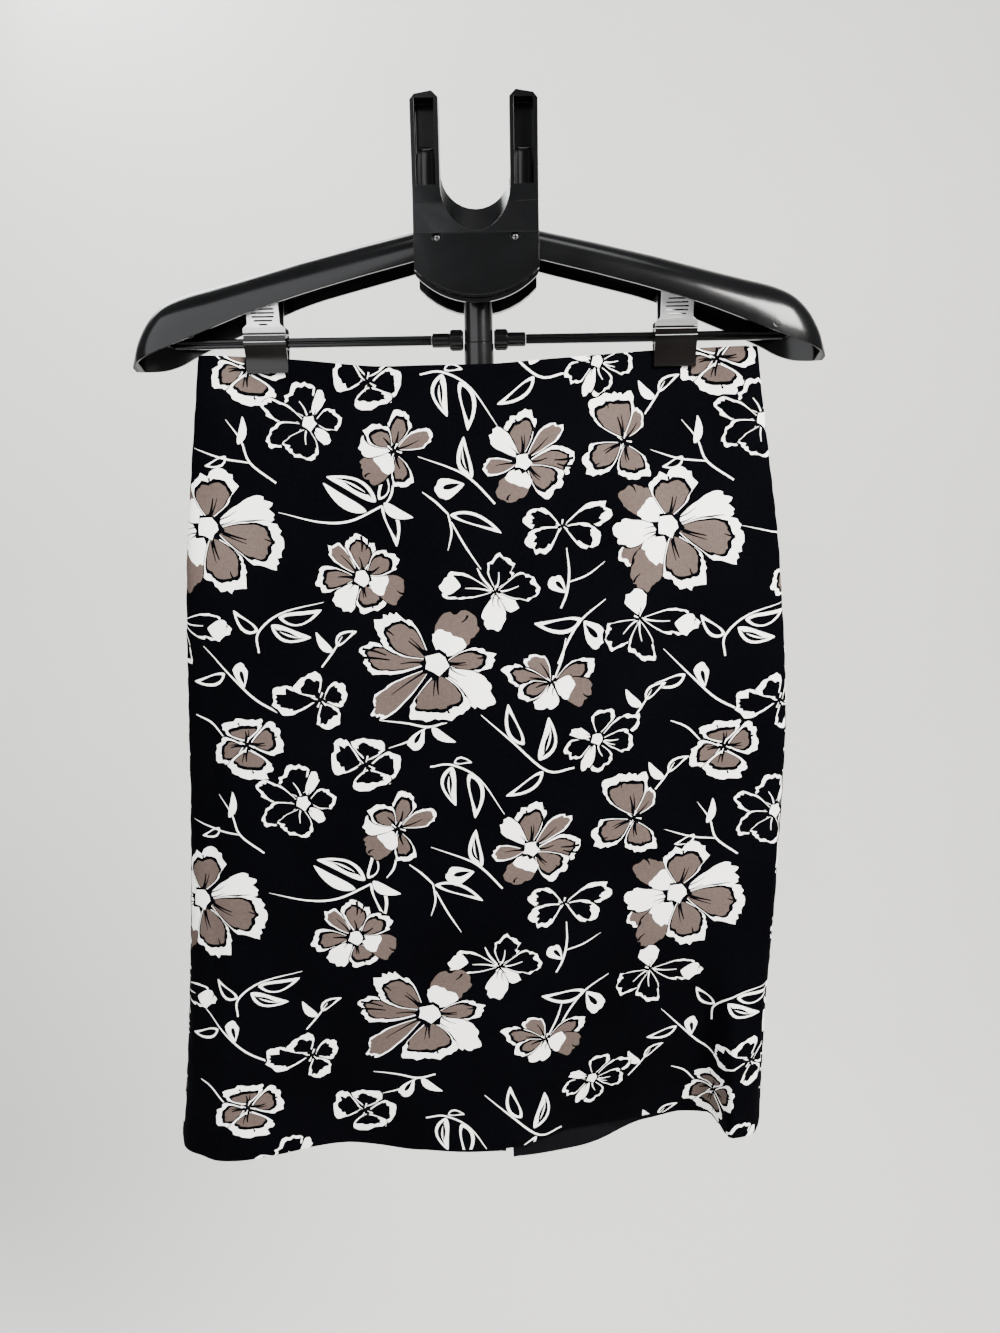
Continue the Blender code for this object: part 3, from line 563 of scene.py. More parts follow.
def star(radius, points, depth, seed):
    """A ragged star or ring round 0, 0."""
    ring = []
    for i in range(2 * points):
        r = radius * (1.0 if i % 2 == 0 else depth) * (0.85 + 0.3 * wobble(seed, i))
        a = math.pi * i / points + 0.25 * wobble(seed, i + 40)
        ring.append((r * math.cos(a), r * math.sin(a)))
    return np.array(ring)


def petal(kind, length, width, seed):
    """The shapes of one petal, along +x from the heart of its flower."""
    shapes = [(petal_ring(length, width, -1.7, seed, 3, 0.09), BLACK)]

    def ring(inset, colour, wave, rough, shorten=0.0, lobes=3):
        shapes.append((petal_ring(length, width, inset, seed, lobes, wave, shorten, rough), colour))

    def wedge(x0, y0, x1, y1, w0, w1, colour=BLACK):
        middle = ((x0 + x1) * length / 2, (0.6 * y0 + 0.4 * y1) * width + 0.8)
        ends = [(x0 * length, y0 * width), middle, (x1 * length, y1 * width)]
        shapes.append((stroke(ends, w0, w1, 0.0, 4), colour))

    if kind in ("bordered", "thick"):
        border = (0.075 if kind == "bordered" else 0.125) * width
        tip = (0.10 if kind == "bordered" else 0.07) * length
        ring(0.0, WHITE, 0.17, 0.15)
        ring(border, BLACK, 0.12, 0.08, tip)
        ring(border + 2.7, TAUPE, 0.14, 0.05, tip + 1.0)
        wedge(0.02, 0.0, 0.44, 0.04, 3.4, 1.0)
        if width > 26:
            wedge(0.10, 0.05, 0.46, 0.13, 2.0, 0.6)
            wedge(0.84, -0.10, 0.68, -0.09, 2.6, 0.7)
    elif kind == "slot":
        ring(0.0, WHITE, 0.15, 0.13)
        ring(0.14 * width, BLACK, 0.20, 0.34, 0.06 * length, 4)
        wedge(0.10, 0.05, 0.40, 0.10, 1.4, 0.6)
    elif kind == "solid":
        ring(0.0, WHITE, 0.18, 0.10)
        wedge(0.02, 0.05, 0.34, 0.07, 1.8, 0.5)
        if width > 24:
            wedge(0.10, -0.12, 0.40, -0.20, 1.6, 0.5)
    elif kind == "bare":
        ring(0.0, TAUPE, 0.16, 0.11)
        wedge(0.99, 0.12, 0.80, 0.07, 2.6, 0.8)
        shapes.append((petal_ring(0.52 * length, 0.86 * width, 0.0, seed + 3, 5, 0.15, 0.0, 0.05), WHITE))
    elif kind == "fingered":
        ring(0.0, WHITE, 0.12, 0.08, 0.0, 5)
        ring(0.07 * width + 1.4, BLACK, 0.10, 0.05, 1.0, 5)
        ring(0.07 * width + 3.4, TAUPE, 0.10, 0.03, 1.6, 5)
        wedge(0.99, 0.20, 0.62, 0.11, 3.0, 1.2)
        wedge(0.99, -0.06, 0.56, -0.02, 3.2, 1.2)
        wedge(0.02, 0.0, 0.40, -0.10, 2.6, 0.8)
    elif kind == "slim":
        ring(0.0, WHITE, 0.14, 0.12)
        ring(1.6, TAUPE, 0.13, 0.07, 1.2)
        wedge(0.04, 0.02, 0.62, 0.10, 2.2, 0.6)
    else:
        ring(0.0, WHITE, 0.19, 0.16)
        ring(2.0, BLACK, 0.17, 0.18, 1.2)
        if kind == "veined" or width > 24:
            wedge(0.02, 0.02, 0.52, -0.05, 1.7, 0.6, WHITE)
        if kind == "veined":
            wedge(0.06, 0.08, 0.44, 0.20, 1.4, 0.5, WHITE)
        if kind == "blobbed":
            end = petal_ring(0.36 * length, 0.80 * width, 0.0, seed + 9, 3, 0.12, 0.0, 0.05)
            shapes.append((end + np.array([0.62 * length, 0.0]), WHITE))
    return shapes


def flower_petals(petals, usual, radius, seed):
    """The petals of a flower, which start a little inside its heart's edge."""
    shapes, base = [], 0.75 * radius
    for k, (x, y, width, *kind) in enumerate(petals):
        made = petal(kind[0] if kind else usual, math.hypot(x, y) - base, width, seed + 1.7 * k)
        for ring, colour in made:
            shapes.append((turned(ring + np.array([base, 0.0]), math.atan2(y, x)), colour))
    return shapes


def flower_heart(kind, radius, seed):
    """A white star on a black one, or a black star with four white spikes."""
    if kind == "open":
        return [(star(1.42 * radius, 8, 0.76, seed), BLACK),
                (star(1.02 * radius, 5, 0.84, seed + 1), WHITE)]
    shapes = [(star(1.7 * radius, 7, 0.55, seed), BLACK)]
    for k in range(4):
        a = 1.57 * k + 0.6 * wobble(seed, k)
        ends = [(0.5 * radius * math.cos(a), 0.5 * radius * math.sin(a)),
                (1.6 * radius * math.cos(a + 0.15), 1.6 * radius * math.sin(a + 0.15))]
        shapes.append((stroke(ends, 0.6, 1.8, 0.0, 3), WHITE))
    return shapes


def leaf(tail, tip, width, kind, seed):
    """A pointed, curved leaf from its tail to its tip, with dark slots."""
    (x0, y0), (x1, y1) = tail, tip
    length, angle = math.hypot(x1 - x0, y1 - y0), math.atan2(y1 - y0, x1 - x0)
    bend = (0.55 if wobble(seed, 7) > 0.5 else -0.55) * width

    def eye(low, high, broad, side, colour):
        a = np.linspace(0.0, 2.0 * math.pi, max(12, int(length / 1.6)), endpoint=False)
        t = 0.5 - 0.5 * np.cos(a)
        x = low + (high - low) * t
        y = 0.5 * broad * width * np.sin(a) * np.abs(np.sin(a)) ** 0.5 * (1.2 - 0.5 * t)
        y = y + side * width * np.sin(math.pi * t) + bend * (x ** 2 - 0.35 * np.sin(math.pi * x))
        return np.stack([x * length, y], axis=1), colour

    shapes = [eye(-0.02, 1.04, 1.15, 0.0, BLACK), eye(0.0, 1.0, 0.95, 0.0, WHITE)]
    if kind == "open":
        shapes.append(eye(0.10, 0.84, 0.62, 0.06, BLACK))
    elif kind == "lined":
        shapes.append(eye(0.10, 0.86, 0.26, 0.17, BLACK))
        shapes.append(eye(0.18, 0.72, 0.18, -0.15, BLACK))
    return [(turned(ring, angle, tail), colour) for ring, colour in shapes]


def bud(x, y, wide, tall, angle, seed):
    """A lobed bud with a dark slot at its neck."""
    ring = petal_ring(wide, tall, 0.0, seed, 2, 0.16, 0.0, 0.06)
    slot = petal_ring(0.58 * wide, 0.30 * tall, 0.0, seed + 1, 2, 0.06)
    shapes = [(ring, WHITE), (slot + np.array([0.12 * wide, 0.06 * tall]), BLACK)]
    return [(turned(r, angle, (x, y)), colour) for r, colour in shapes]


def stem(points, start, end):
    """A stem's stroke, thinner than its numbers say, with a slight belly."""
    return [(stroke(points, 0.72 * start - 0.9, 0.72 * end - 0.8, 0.9), WHITE)]


# Petals are (tip x, tip y, width, kind), y down, from the heart of the flower. Petals of the
# flower's usual kind leave the kind out.
FLOWERS = {
    # name: (heart radius, heart kind, usual kind, petals)
    "rose": (5.0, "spiky", "thick", (
        (-6, -27, 43), (38, -8, 32), (-35, 9, 29), (2, 35, 50))),
    "daisy": (8.0, "open", "outlined", (
        (-14, -36, 36), (-47, -13, 22), (-42, 18, 24), (-8, 36, 37), (32, -7, 24),
        (14, -33, 11, "solid"), (21, 18, 13, "solid"))),
    "pansy": (6.0, "spiky", "slot", (
        (-36, -8, 36), (4, -28, 33), (34, 3, 35), (6, 26, 40))),
    "carnation": (5.0, "spiky", "bordered", (
        (8, -40, 24), (37, -18, 20, "slim"), (13, 36, 21), (-28, 29, 30, "bare"), (-36, -5, 20, "solid"),
        (-23, -25, 26))),
    "aster": (6.5, "open", "outlined", (
        (6, -32, 21), (41, -18, 22), (37, 5, 23, "veined"), (8, 32, 25), (-13, 32, 12, "solid"),
        (-32, 12, 22), (-26, -10, 11, "solid"))),
    "tulip": (5.0, "spiky", "bordered", (
        (20, -28, 18, "slim"), (-15, -50, 46), (-39, 24, 33), (11, 39, 33))),
    "clover": (8.0, "open", "slim", (
        (-40, 5, 18), (37, -36, 19), (-4, -50, 31, "bordered"), (-30, -34, 18, "solid"),
        (51, 2, 30, "fingered"), (35, 31, 30, "bordered"), (-13, 38, 33, "bare"))),
    "big": (11.0, "open", "bordered", (
        (-50, 30, 26, "slim"), (-41, -41, 31, "bare"), (-56, 7, 27, "solid"), (-34, 56, 37, "bare"),
        (24, 61, 46), (8, -56, 46), (66, -25, 28, "solid"), (78, 19, 43))),
    "mallow": (8.0, "open", "bordered", (
        (-32, -30, 17, "slim"), (2, -42, 30, "fingered"), (-47, 3, 24), (-26, 31, 22, "solid"),
        (9, 35, 28), (43, 12, 28, "bare"), (33, -24, 26))),
    "great": (12.0, "open", "bordered", (
        (-67, 50, 25, "slim"), (-75, -8, 34, "fingered"), (29, -51, 42, "bare"), (-54, -43, 39),
        (56, -4, 27), (54, 38, 33, "solid"), (7, 59, 57))),
    "violet": (4.0, "spiky", "slot", (
        (-35, -14, 23), (49, -12, 25), (-33, 19, 27), (37, 15, 25))),
    "iris_left": (4.0, "spiky", "solid", (
        (20, 18, 15), (-53, -10, 26, "blobbed"), (10, -34, 29, "outlined"), (43, -6, 28, "outlined"),
        (-1, 37, 25))),
    "iris_right": (4.0, "spiky", "outlined", (
        (-4, -28, 23, "solid"), (56, 12, 28, "blobbed"), (-33, 24, 28), (0, 42, 27))),
    "orchid": (4.0, "spiky", "bordered", (
        (-20, -29, 21, "slim"), (-48, -11, 22), (42, -14, 24), (39, 15, 28, "bare"),
        (-8, 28, 25, "solid"), (-33, 11, 21))),
    "low_pansy": (5.0, "spiky", "slot", (
        (-50, 5, 29), (-16, -23, 31), (27, -9, 26), (15, 25, 28))),
}


def sprigs():
    """Stems, leaves and buds, each round its own joint."""
    return {
        "rose": stem([(-57, -30), (-40, -22), (-26, -8)], 2.2, 2.6),
        "carnation": stem([(-1, 30), (-4, 44), (-11, 54)], 3.4, 2.2),
        "violet": stem([(4, 22), (6, 46), (3, 67), (-3, 81)], 2.4, 3.4)
            + stem([(4, 56), (24, 50), (42, 38)], 2.6, 1.4) + bud(2, 66, 22, 15, -2.3, 5.0),
        "iris_left": stem([(-17, -24), (-12, -14), (-3, -3)], 2.4, 3.0),
        "orchid": stem([(15, -43), (11, -24), (3, -4)], 2.2, 3.0),
        "hanging": leaf((0, 2), (-5, 43), 17, "lined", 1.0) + leaf((17, 10), (33, 55), 17, "open", 2.0)
            + leaf((2, -2), (19, -7), 9, "open", 3.0)
            + stem([(-22, 2), (0, 0), (28, 16), (54, 55)], 3.4, 1.6),
        "branch": leaf((-24, -30), (-47, -69), 15, "open", 4.0)
            + leaf((-8, -12), (10, -53), 18, "lined", 5.0) + leaf((-4, 0), (-36, 30), 14, "open", 6.0)
            + stem([(-67, -63), (-36, -34), (0, 0), (28, -1)], 2.0, 3.6),
        "long": leaf((-6, -4), (-51, -33), 17, "lined", 7.0) + leaf((-16, 6), (-62, -12), 13, "filled", 8.0)
            + leaf((0, 0), (21, 36), 15, "open", 9.0) + leaf((2, -3), (27, 17), 12, "filled", 10.0)
            + leaf((-3, -6), (8, -34), 12, "open", 10.5)
            + stem([(-106, 13), (-66, 20), (-34, 17), (0, 0)], 1.6, 3.6),
        "sprout": leaf((0, 0), (-46, 10), 17, "open", 11.0) + bud(2, 2, 31, 21, 0.9, 12.0)
            + stem([(24, -18), (0, 0), (-14, 20), (-25, 43)], 2.2, 3.4),
        "bud": leaf((2, -2), (-13, -40), 15, "lined", 13.0) + bud(-6, 4, 30, 20, 2.9, 14.0)
            + stem([(-51, -24), (-14, -10), (4, 2), (24, 24)], 1.8, 3.4),
        "fork": leaf((-24, -6), (-42, 8), 10, "open", 15.0) + leaf((-12, -18), (-3, -44), 9, "filled", 15.5)
            + stem([(0, 0), (-28, -4), (-57, -14)], 2.8, 1.4)
            + stem([(-24, -42), (-9, -22), (0, 0), (26, 19)], 1.6, 3.4),
        "cross": leaf((2, 1), (54, 13), 13, "open", 16.0) + stem([(-25, -22), (-12, -12), (0, 0)], 2.0, 3.2)
            + stem([(0, 0), (3, 18), (-1, 36)], 3.0, 1.6) + stem([(3, 8), (16, 32), (31, 55)], 2.8, 1.8),
        "twig": leaf((-32, -26), (-64, -11), 13, "open", 17.0) + bud(-12, -12, 25, 15, -1.8, 18.0)
            + stem([(-54, -53), (-26, -24), (0, 0), (30, 15)], 1.8, 3.6),
        "hook": stem([(-49, -7), (-22, -4), (0, 0), (19, -5)], 2.0, 3.4)
            + stem([(-2, 1), (-18, 14), (-40, 22)], 2.8, 1.6) + bud(-4, 2, 26, 15, 2.1, 19.0)
            + leaf((4, 0), (24, 20), 10, "filled", 20.0),
        "leafy": leaf((0, 0), (-28, -13), 14, "open", 21.0) + leaf((22, -14), (67, -16), 15, "open", 22.0)
            + leaf((14, -6), (51, 12), 16, "lined", 23.0)
            + stem([(0, 22), (0, 2), (24, -18), (69, -32)], 3.6, 1.6),
        "small": leaf((0, 0), (-20, -14), 10, "filled", 24.0) + leaf((4, -6), (20, -26), 11, "open", 25.0)
            + stem([(-12, 16), (0, 0), (10, -16)], 3.0, 1.6),
    }


# Where each motif lies on the front, in units of the picture. Later ones lie on top.
PLACES = {
    "long": ((382, 506), (371, 884), (842, 512)),
    "rose": ((247, 369), (247, 745), (248, 1108), (717, 358), (724, 746), (713, 1089)),
    "hanging": ((442, 372), (452, 765), (446, 1116)),
    "branch": ((538, 376), (547, 771), (540, 1135)),
    "twig": ((256, 700), (716, 698), (246, 1052), (700, 1042)),
    "fork": ((250, 463), (707, 461), (240, 835), (716, 838)),
    "cross": ((448, 514), (433, 884)),
    "hook": ((428, 727), (418, 1078)),
    "bud": ((470, 480), (480, 868)),
    "sprout": ((582, 619), (585, 990)),
    "leafy": ((258, 631), (725, 634), (238, 998), (715, 1004)),
    "small": ((333, 652), (318, 1016), (642, 706), (640, 1062), (655, 398), (664, 778), (655, 1122)),
    "daisy": ((309, 423), (303, 803), (298, 1170), (763, 419), (775, 810), (744, 1158)),
    "pansy": ((367, 382), (366, 765), (365, 1110)),
    "carnation": ((394, 451), (398, 829)),
    "aster": ((597, 361), (597, 739), (592, 1078)),
    "tulip": ((624, 441), (634, 818)),
    "clover": ((523, 462), (531, 849)),
    "big": ((208, 528), (202, 899), (668, 526), (677, 893)),
    "mallow": ((362, 578), (356, 938), (812, 578)),
    "violet": ((562, 526), (564, 903)),
    "iris_left": ((495, 592), (500, 967)),
    "iris_right": ((640, 618), (650, 968), (180, 620), (172, 985)),
    "orchid": ((552, 682), (546, 1039)),
    "low_pansy": ((320, 700), (312, 1055), (779, 700), (750, 1060)),
    "great": ((436, 664), (429, 1014)),
}
SPOTS = [(name, x, y) for name, spots in PLACES.items() for x, y in spots]
# The print's repeat, in units of the picture. The back uses the motifs of PLACES that lie
# between these x and above this y, counted from REPEAT_ZERO.
REPEAT = (462.0, 374.0)
REPEAT_X, REPEAT_END = (190.0, 652.0), 735.0
REPEAT_ZERO = (420.0, 340.0)


def motif_shapes():
    """Every motif by its name, each round 0, 0."""
    made = sprigs()
    for k, (name, (radius, kind, usual, petals)) in enumerate(FLOWERS.items()):
        made[name] = (made.get(name, []) + flower_petals(petals, usual, radius, 3.0 + 11.0 * k)
                      + flower_heart(kind, radius, k + 0.5))
    return made


def camera_view(points, camera):
    """Where points in millimetres show in the picture."""
    world = np.array(camera.matrix_world.inverted())
    local = points * MM @ world[:3, :3].T + world[:3, 3]
    x = PICTURE[0] / 2.0 + FOCAL * local[..., 0] / -local[..., 2]
    y = PICTURE[1] / 2.0 - FOCAL * local[..., 1] / -local[..., 2]
    return np.stack([x, y], axis=-1)


def front_print(panel, camera):
    """The front's print, each motif where the picture has it."""
    seen = camera_view(panel.surface, camera)
    motifs = motif_shapes()
    shapes = []
    for name, x, y in SPOTS:
        off = np.array([x, y]) - seen
        i, j = np.unravel_index(np.argmin((off ** 2).sum(axis=2)), off.shape[:2])
        centre = np.array([panel.u[i, j], panel.v[i, j]]) + PRINT_SCALE * off[i, j]
        shapes += [(centre + PRINT_SCALE * ring, colour) for ring, colour in motifs[name]]
    return on_panel(panel, shapes)


def back_print(panel, shift_u, shift_v):
    """The same repeat, laid over a back panel from another place."""
    motifs = motif_shapes()
    chosen = [spot for spot in SPOTS if spot[2] < REPEAT_END and REPEAT_X[0] <= spot[1] < REPEAT_X[1]]
    shapes = []
    for across_count in range(-2, 3):
        for down_count in range(-1, 4):
            for name, x, y in chosen:
                centre = PRINT_SCALE * np.array([x - REPEAT_ZERO[0] + REPEAT[0] * across_count,
                                                 y - REPEAT_ZERO[1] + REPEAT[1] * down_count])
                centre = centre + np.array([shift_u, shift_v])
                shapes += [(centre + PRINT_SCALE * ring, colour) for ring, colour in motifs[name]]
    return on_panel(panel, shapes)


def on_panel(panel, shapes):
    """The shapes that touch the panel."""
    low, high = panel.left.min(), panel.right.max()
    kept = []
    for ring, colour in shapes:
        (u0, v0), (u1, v1) = ring.min(axis=0), ring.max(axis=0)
        if u1 > low and u0 < high and v1 > 0.0 and v0 < LENGTH:
            left, right = panel.edges_at(np.clip(np.array([v0, v1]), 0.0, LENGTH))
            if u1 > left.min() - 1.0 and u0 < right.max() + 1.0:
                kept.append((ring, colour))
    return kept


# --- Creases --------------------------------------------------------------------
# (start u, v, end u, v, width, height): soft ridges (+) and troughs (-), in mm.
CREASES = {
    "front": (
        (-150, 40, -176, 330, 26, -1.6), (-118, 20, -95, 250, 24, 1.3), (-60, 90, -48, 420, 34, -1.2),
        (-8, 60, -20, 300, 30, 1.2), (52, 110, 66, 470, 30, -1.4), (104, 16, 84, 260, 22, 1.4),
        (128, 22, 150, 250, 20, -1.5), (158, 120, 150, 330, 24, 1.2),
        (-205, 470, -170, 575, 26, 1.6), (-120, 430, -128, 575, 30, -1.8), (-85, 470, -80, 575, 22, 1.4),
        (-40, 440, -32, 575, 26, -1.5), (18, 430, 30, 575, 26, 1.5), (70, 440, 82, 575, 22, -1.6),
        (110, 410, 128, 575, 20, 1.6), (-30, 30, -96, 18, 12, 0.9), (36, 32, 92, 18, 12, 0.9),
        (-100, 180, 20, 205, 40, 0.8), (-20, 300, 120, 272, 36, -0.8), (-180, 360, -60, 392, 34, 0.7)),
    "back_left": (
        (-60, 60, -72, 330, 26, -1.5), (-120, 40, -104, 300, 24, 1.4), (-165, 120, -178, 400, 26, -1.3),
        (-40, 380, -46, 575, 24, 1.5), (-92, 400, -84, 575, 22, -1.6), (-150, 420, -160, 575, 26, 1.4),
        (-100, 210, -20, 236, 34, -0.8), (-190, 250, -70, 282, 34, 0.8)),
    "back_right": (
        (52, 50, 64, 300, 24, 1.5), (104, 30, 96, 320, 26, -1.5), (158, 100, 170, 380, 24, 1.3),
        (36, 400, 44, 575, 22, -1.5), (88, 390, 80, 575, 24, 1.6), (140, 430, 150, 575, 24, -1.4),
        (30, 240, 120, 214, 34, 0.8), (60, 330, 180, 352, 34, -0.8)),
}


# Small relief in millimetres: how tall or deep, how wide.
PUCKER = (0.22, 7.0)      # waves of the cloth beside a seam
SEAM_ROLL = (0.75, 1.7)   # the cloth's turn into a seam
HEM_STEP = (0.28, 1.6)    # the outside over the turned hem
STITCH = (0.42, 1.3)      # a dimple where a stitch of the hem pulls
STITCH_PITCH = 7.5
HEM_ROLL, TOP_ROLL = (0.5, 1.5), (0.35, 1.4)
SLACK = 0.10              # slight unevenness of the whole cloth


def ridge(size, distance):
    """A low rounded ridge, by the distance from its middle."""
    return size[0] * np.exp(-(distance / size[1]) ** 2)


def crease_heights(panel, table):
    """How far each point of a panel's grid stands out, in millimetres."""
    u, v = panel.u, panel.v
    height = np.zeros_like(u)
    for k, (u0, v0, u1, v1, width, tall) in enumerate(table):
        du, dv = u1 - u0, v1 - v0
        long = math.hypot(du, dv)
        t = ((u - u0) * du + (v - v0) * dv) / long ** 2
        bow = 0.06 * long * (wobble(k, 5) - 0.5) * np.sin(math.pi * np.clip(t, 0.0, 1.0))
        off = ((u - u0) * dv - (v - v0) * du) / long + bow
        if v1 >= LENGTH - 1.0:
            ends = ease(t / 0.55)
        else:
            ends = ease(t / 0.35) * ease((1.0 - t) / 0.35)
        ends = ends * (0.8 + 0.2 * np.sin(7.0 * t + k))
        height += tall * ends * np.exp(-(off / width * (1.0 + 0.25 * np.tanh(off / width))) ** 2 * 2.2)
    left, right = panel.left[:, None], panel.right[:, None]
    from_seam = np.minimum(u - left, right - u)
    height *= ease((v - 14.0) / 46.0) * ease(from_seam / 26.0 + 0.1)
    pucker = np.sin(v / 3.1 + 1.5 * np.sin(v / 17.0)) * ridge(PUCKER, from_seam)
    height += pucker * ease((v - 10.0) / 20.0)
    height -= ridge(SEAM_ROLL, from_seam)
    height += HEM_STEP[0] * ease((v - STITCH_ROW) / HEM_STEP[1] + 0.5)
    dimples = np.clip(np.cos(u / STITCH_PITCH * 2.0 * math.pi), 0.0, 1.0) ** 8
    height -= dimples * ridge(STITCH, v - STITCH_ROW)
    height -= ridge(HEM_ROLL, LENGTH - v) + ridge(TOP_ROLL, v)
    height += SLACK * np.sin(u / 9.0 + 2.0 * np.sin(v / 31.0)) * np.sin(v / 13.0) * ease((v - 20.0) / 40.0)
    return height


# --- Materials -------------------------------------------------------------------
class Nodes:
    """Adds shader nodes with short calls."""

    def __init__(self, name, **values):
        self.material = bpy.data.materials.new(name)
        self.material.use_nodes = True
        self.tree = self.material.node_tree
        self.shader = self.tree.nodes["Principled BSDF"]
        self.fill(self.shader, values)

    def fill(self, node, values):
        """Sets the named inputs of a node, or links those that get a socket."""
        for key, value in values.items():
            socket = node.inputs[key.replace("_", " ") if isinstance(key, str) else key]
            if isinstance(value, bpy.types.NodeSocket):
                self.tree.links.new(value, socket)
            else:
                socket.default_value = value

    def add(self, kind, output, values, **settings):
        node = self.tree.nodes.new("ShaderNode" + kind)
        for key, value in settings.items():
            setattr(node, key, value)
        self.fill(node, values)
        return node.outputs[output]

    def noise(self, place, scale, detail, roughness):
        values = dict(Scale=scale, Detail=detail, Roughness=roughness, Vector=place)
        return self.add("TexNoise", "Fac", values)

    def wave(self, place, scale, direction):
        return self.add("TexWave", "Fac", dict(Scale=scale, Distortion=0.6, Detail=1.0, Vector=place),
                        wave_type="BANDS", bands_direction=direction, wave_profile="SIN")

    def stretched(self, place, scale):
        return self.add("Mapping", "Vector", dict(Scale=scale, Vector=place))

    def sum(self, *shares):
        """The sum of several sockets, each times its share."""
        total = None
        for socket, share in shares:
            if share != 1.0:
                socket = self.add("Math", 0, {0: socket, 1: share}, operation="MULTIPLY")
            total = socket if total is None else self.add("Math", 0, {0: total, 1: socket}, operation="ADD")
        return total

    def ramp(self, factor, low, dark, high, light):
        node = self.tree.nodes.new("ShaderNodeValToRGB")
        for element, place, colour in zip(node.color_ramp.elements, (low, high), (dark, light)):
            element.position, element.color = place, (*colour, 1.0)
        self.fill(node, dict(Fac=factor))
        return node.outputs["Color"]

    def span(self, factor, low, high):
        return self.add("MapRange", "Result", dict(To_Min=low, To_Max=high, Value=factor))

    def bump(self, height, strength, distance, **before):
        return self.add("Bump", "Normal", dict(Strength=strength, Distance=distance, Height=height, **before))

    def out(self, **links):
        self.fill(self.shader, links)
        return self.material


def cloth_material(name, dark, light, rough, sheen, gloss):
    """Plain-woven cotton. The weave, its slubs and the ink are drawn in the
    flat cloth's own coordinates, so they run with the cut of each panel."""
    n = Nodes(name, Sheen_Weight=sheen, Sheen_Roughness=0.45, Specular_IOR_Level=gloss)
    flat = n.add("TexCoord", "UV", {})
    warp, weft = n.wave(flat, 320.0, "X"), n.wave(flat, 300.0, "Y")
    weave = n.add("Math", 0, {0: warp, 1: weft}, operation="MULTIPLY")
    slub = n.noise(flat, 420.0, 3.0, 0.6)
    cloud = n.noise(flat, 14.0, 3.0, 0.5)
    fine = n.noise(flat, 1500.0, 2.0, 0.6)
    mixed = n.sum((slub, 0.45), (cloud, 0.35), (fine, 0.20), (weave, 0.12))
    first = n.bump(weave, 0.30, 0.00022)
    return n.out(Base_Color=n.ramp(mixed, 0.34, dark, 0.70, light),
                 Roughness=n.span(slub, rough - 0.06, rough + 0.06),
                 Normal=n.bump(n.sum((slub, 1.0), (cloud, 2.0)), 0.25, 0.0005, Normal=first))


def plastic_material(name, dark, light, rough, grain):
    """Moulded glossy plastic with faint flow marks, dust and fine scratches."""
    n = Nodes(name, Coat_Weight=0.05, Coat_Roughness=0.10, Specular_IOR_Level=0.22)
    place = n.add("TexCoord", "Object", {})
    flow = n.noise(place, 22.0, 4.0, 0.55)
    fine = n.noise(place, 900.0, 2.0, 0.5)
    scratch = n.noise(n.stretched(place, (0.06, 1.0, 1.0)), 700.0, 2.0, 0.7)
    first = n.bump(fine, grain, 0.00005)
    return n.out(Base_Color=n.ramp(flow, 0.30, dark, 0.72, light),
                 Roughness=n.span(n.sum((flow, 0.75), (scratch, 0.25)), rough - 0.05, rough + 0.07),
                 Normal=n.bump(flow, 0.05, 0.002, Normal=first))


def steel_material(name, dark, light, rough):
    """Bright pressed steel with a fine brushed grain."""
    n = Nodes(name, Metallic=1.0)
    place = n.add("TexCoord", "Object", {})
    grain = n.noise(n.stretched(place, (0.05, 1.0, 1.0)), 900.0, 2.0, 0.5)
    blotch = n.noise(place, 60.0, 3.0, 0.5)
    return n.out(Base_Color=n.ramp(n.sum((grain, 0.5), (blotch, 0.5)), 0.3, dark, 0.7, light),
                 Roughness=n.span(grain, rough - 0.04, rough + 0.06),
                 Normal=n.bump(grain, 0.05, 0.00004))


# --- The hanger's pieces -------------------------------------------------------------
def add_piece(name, points, faces, material, slot="black_plastic", bevel=0.0, angle=34.0):
    """A smooth-shaded piece from points in millimetres, with rounded edges."""
    mesh = bpy.data.meshes.new(name)
    mesh.from_pydata([tuple(float(c) * MM for c in p) for p in points], [], faces)
    shape = bmesh.new()
    shape.from_mesh(mesh)
    bmesh.ops.remove_doubles(shape, verts=shape.verts, dist=0.00001)
    bmesh.ops.dissolve_limit(shape, angle_limit=math.radians(0.8), verts=shape.verts, edges=shape.edges)
    bmesh.ops.recalc_face_normals(shape, faces=shape.faces)
    shape.to_mesh(mesh)
    shape.free()
    mesh.shade_smooth()
    mesh.set_sharp_from_angle(angle=math.radians(angle))
    mesh.materials.append(material)
    piece = add_object(name, mesh)
    if bevel:
        rounded = piece.modifiers.new("rounded", "BEVEL")
        rounded.width, rounded.segments = bevel * MM, 3
        rounded.limit_method, rounded.angle_limit = "ANGLE", math.radians(angle)
        rounded.use_clamp_overlap, rounded.harden_normals = True, True
    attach(piece, "root")
    return piece


def refined(node, material, slot, bevel, angle):
    """The CAD node's own shape with its round faces smooth and edges rounded."""
    source = NODES[node].data
    points = [tuple(c / MM for c in v.co) for v in source.vertices]
    faces = [tuple(p.vertices) for p in source.polygons]
    piece = add_piece(node + "_moulded", points, faces, material, slot, bevel, angle)
    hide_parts(node)


def prism(name, outline, axis, low, high, material, bevel=0.0):
    """An outline of (u, v) pairs run along an axis: x (u=y) or y (u=x)."""
    place = {"x": lambda u, v, h: (h, u, v), "y": lambda u, v, h: (u, h, v)}[axis]
    count = len(outline)
    points = [place(u, v, h) for h in (low, high) for u, v in outline]
    faces = [tuple(range(count)), tuple(range(count, 2 * count))] + rows_of_faces(1, count)
    add_piece(name, points, faces, material, bevel=bevel)


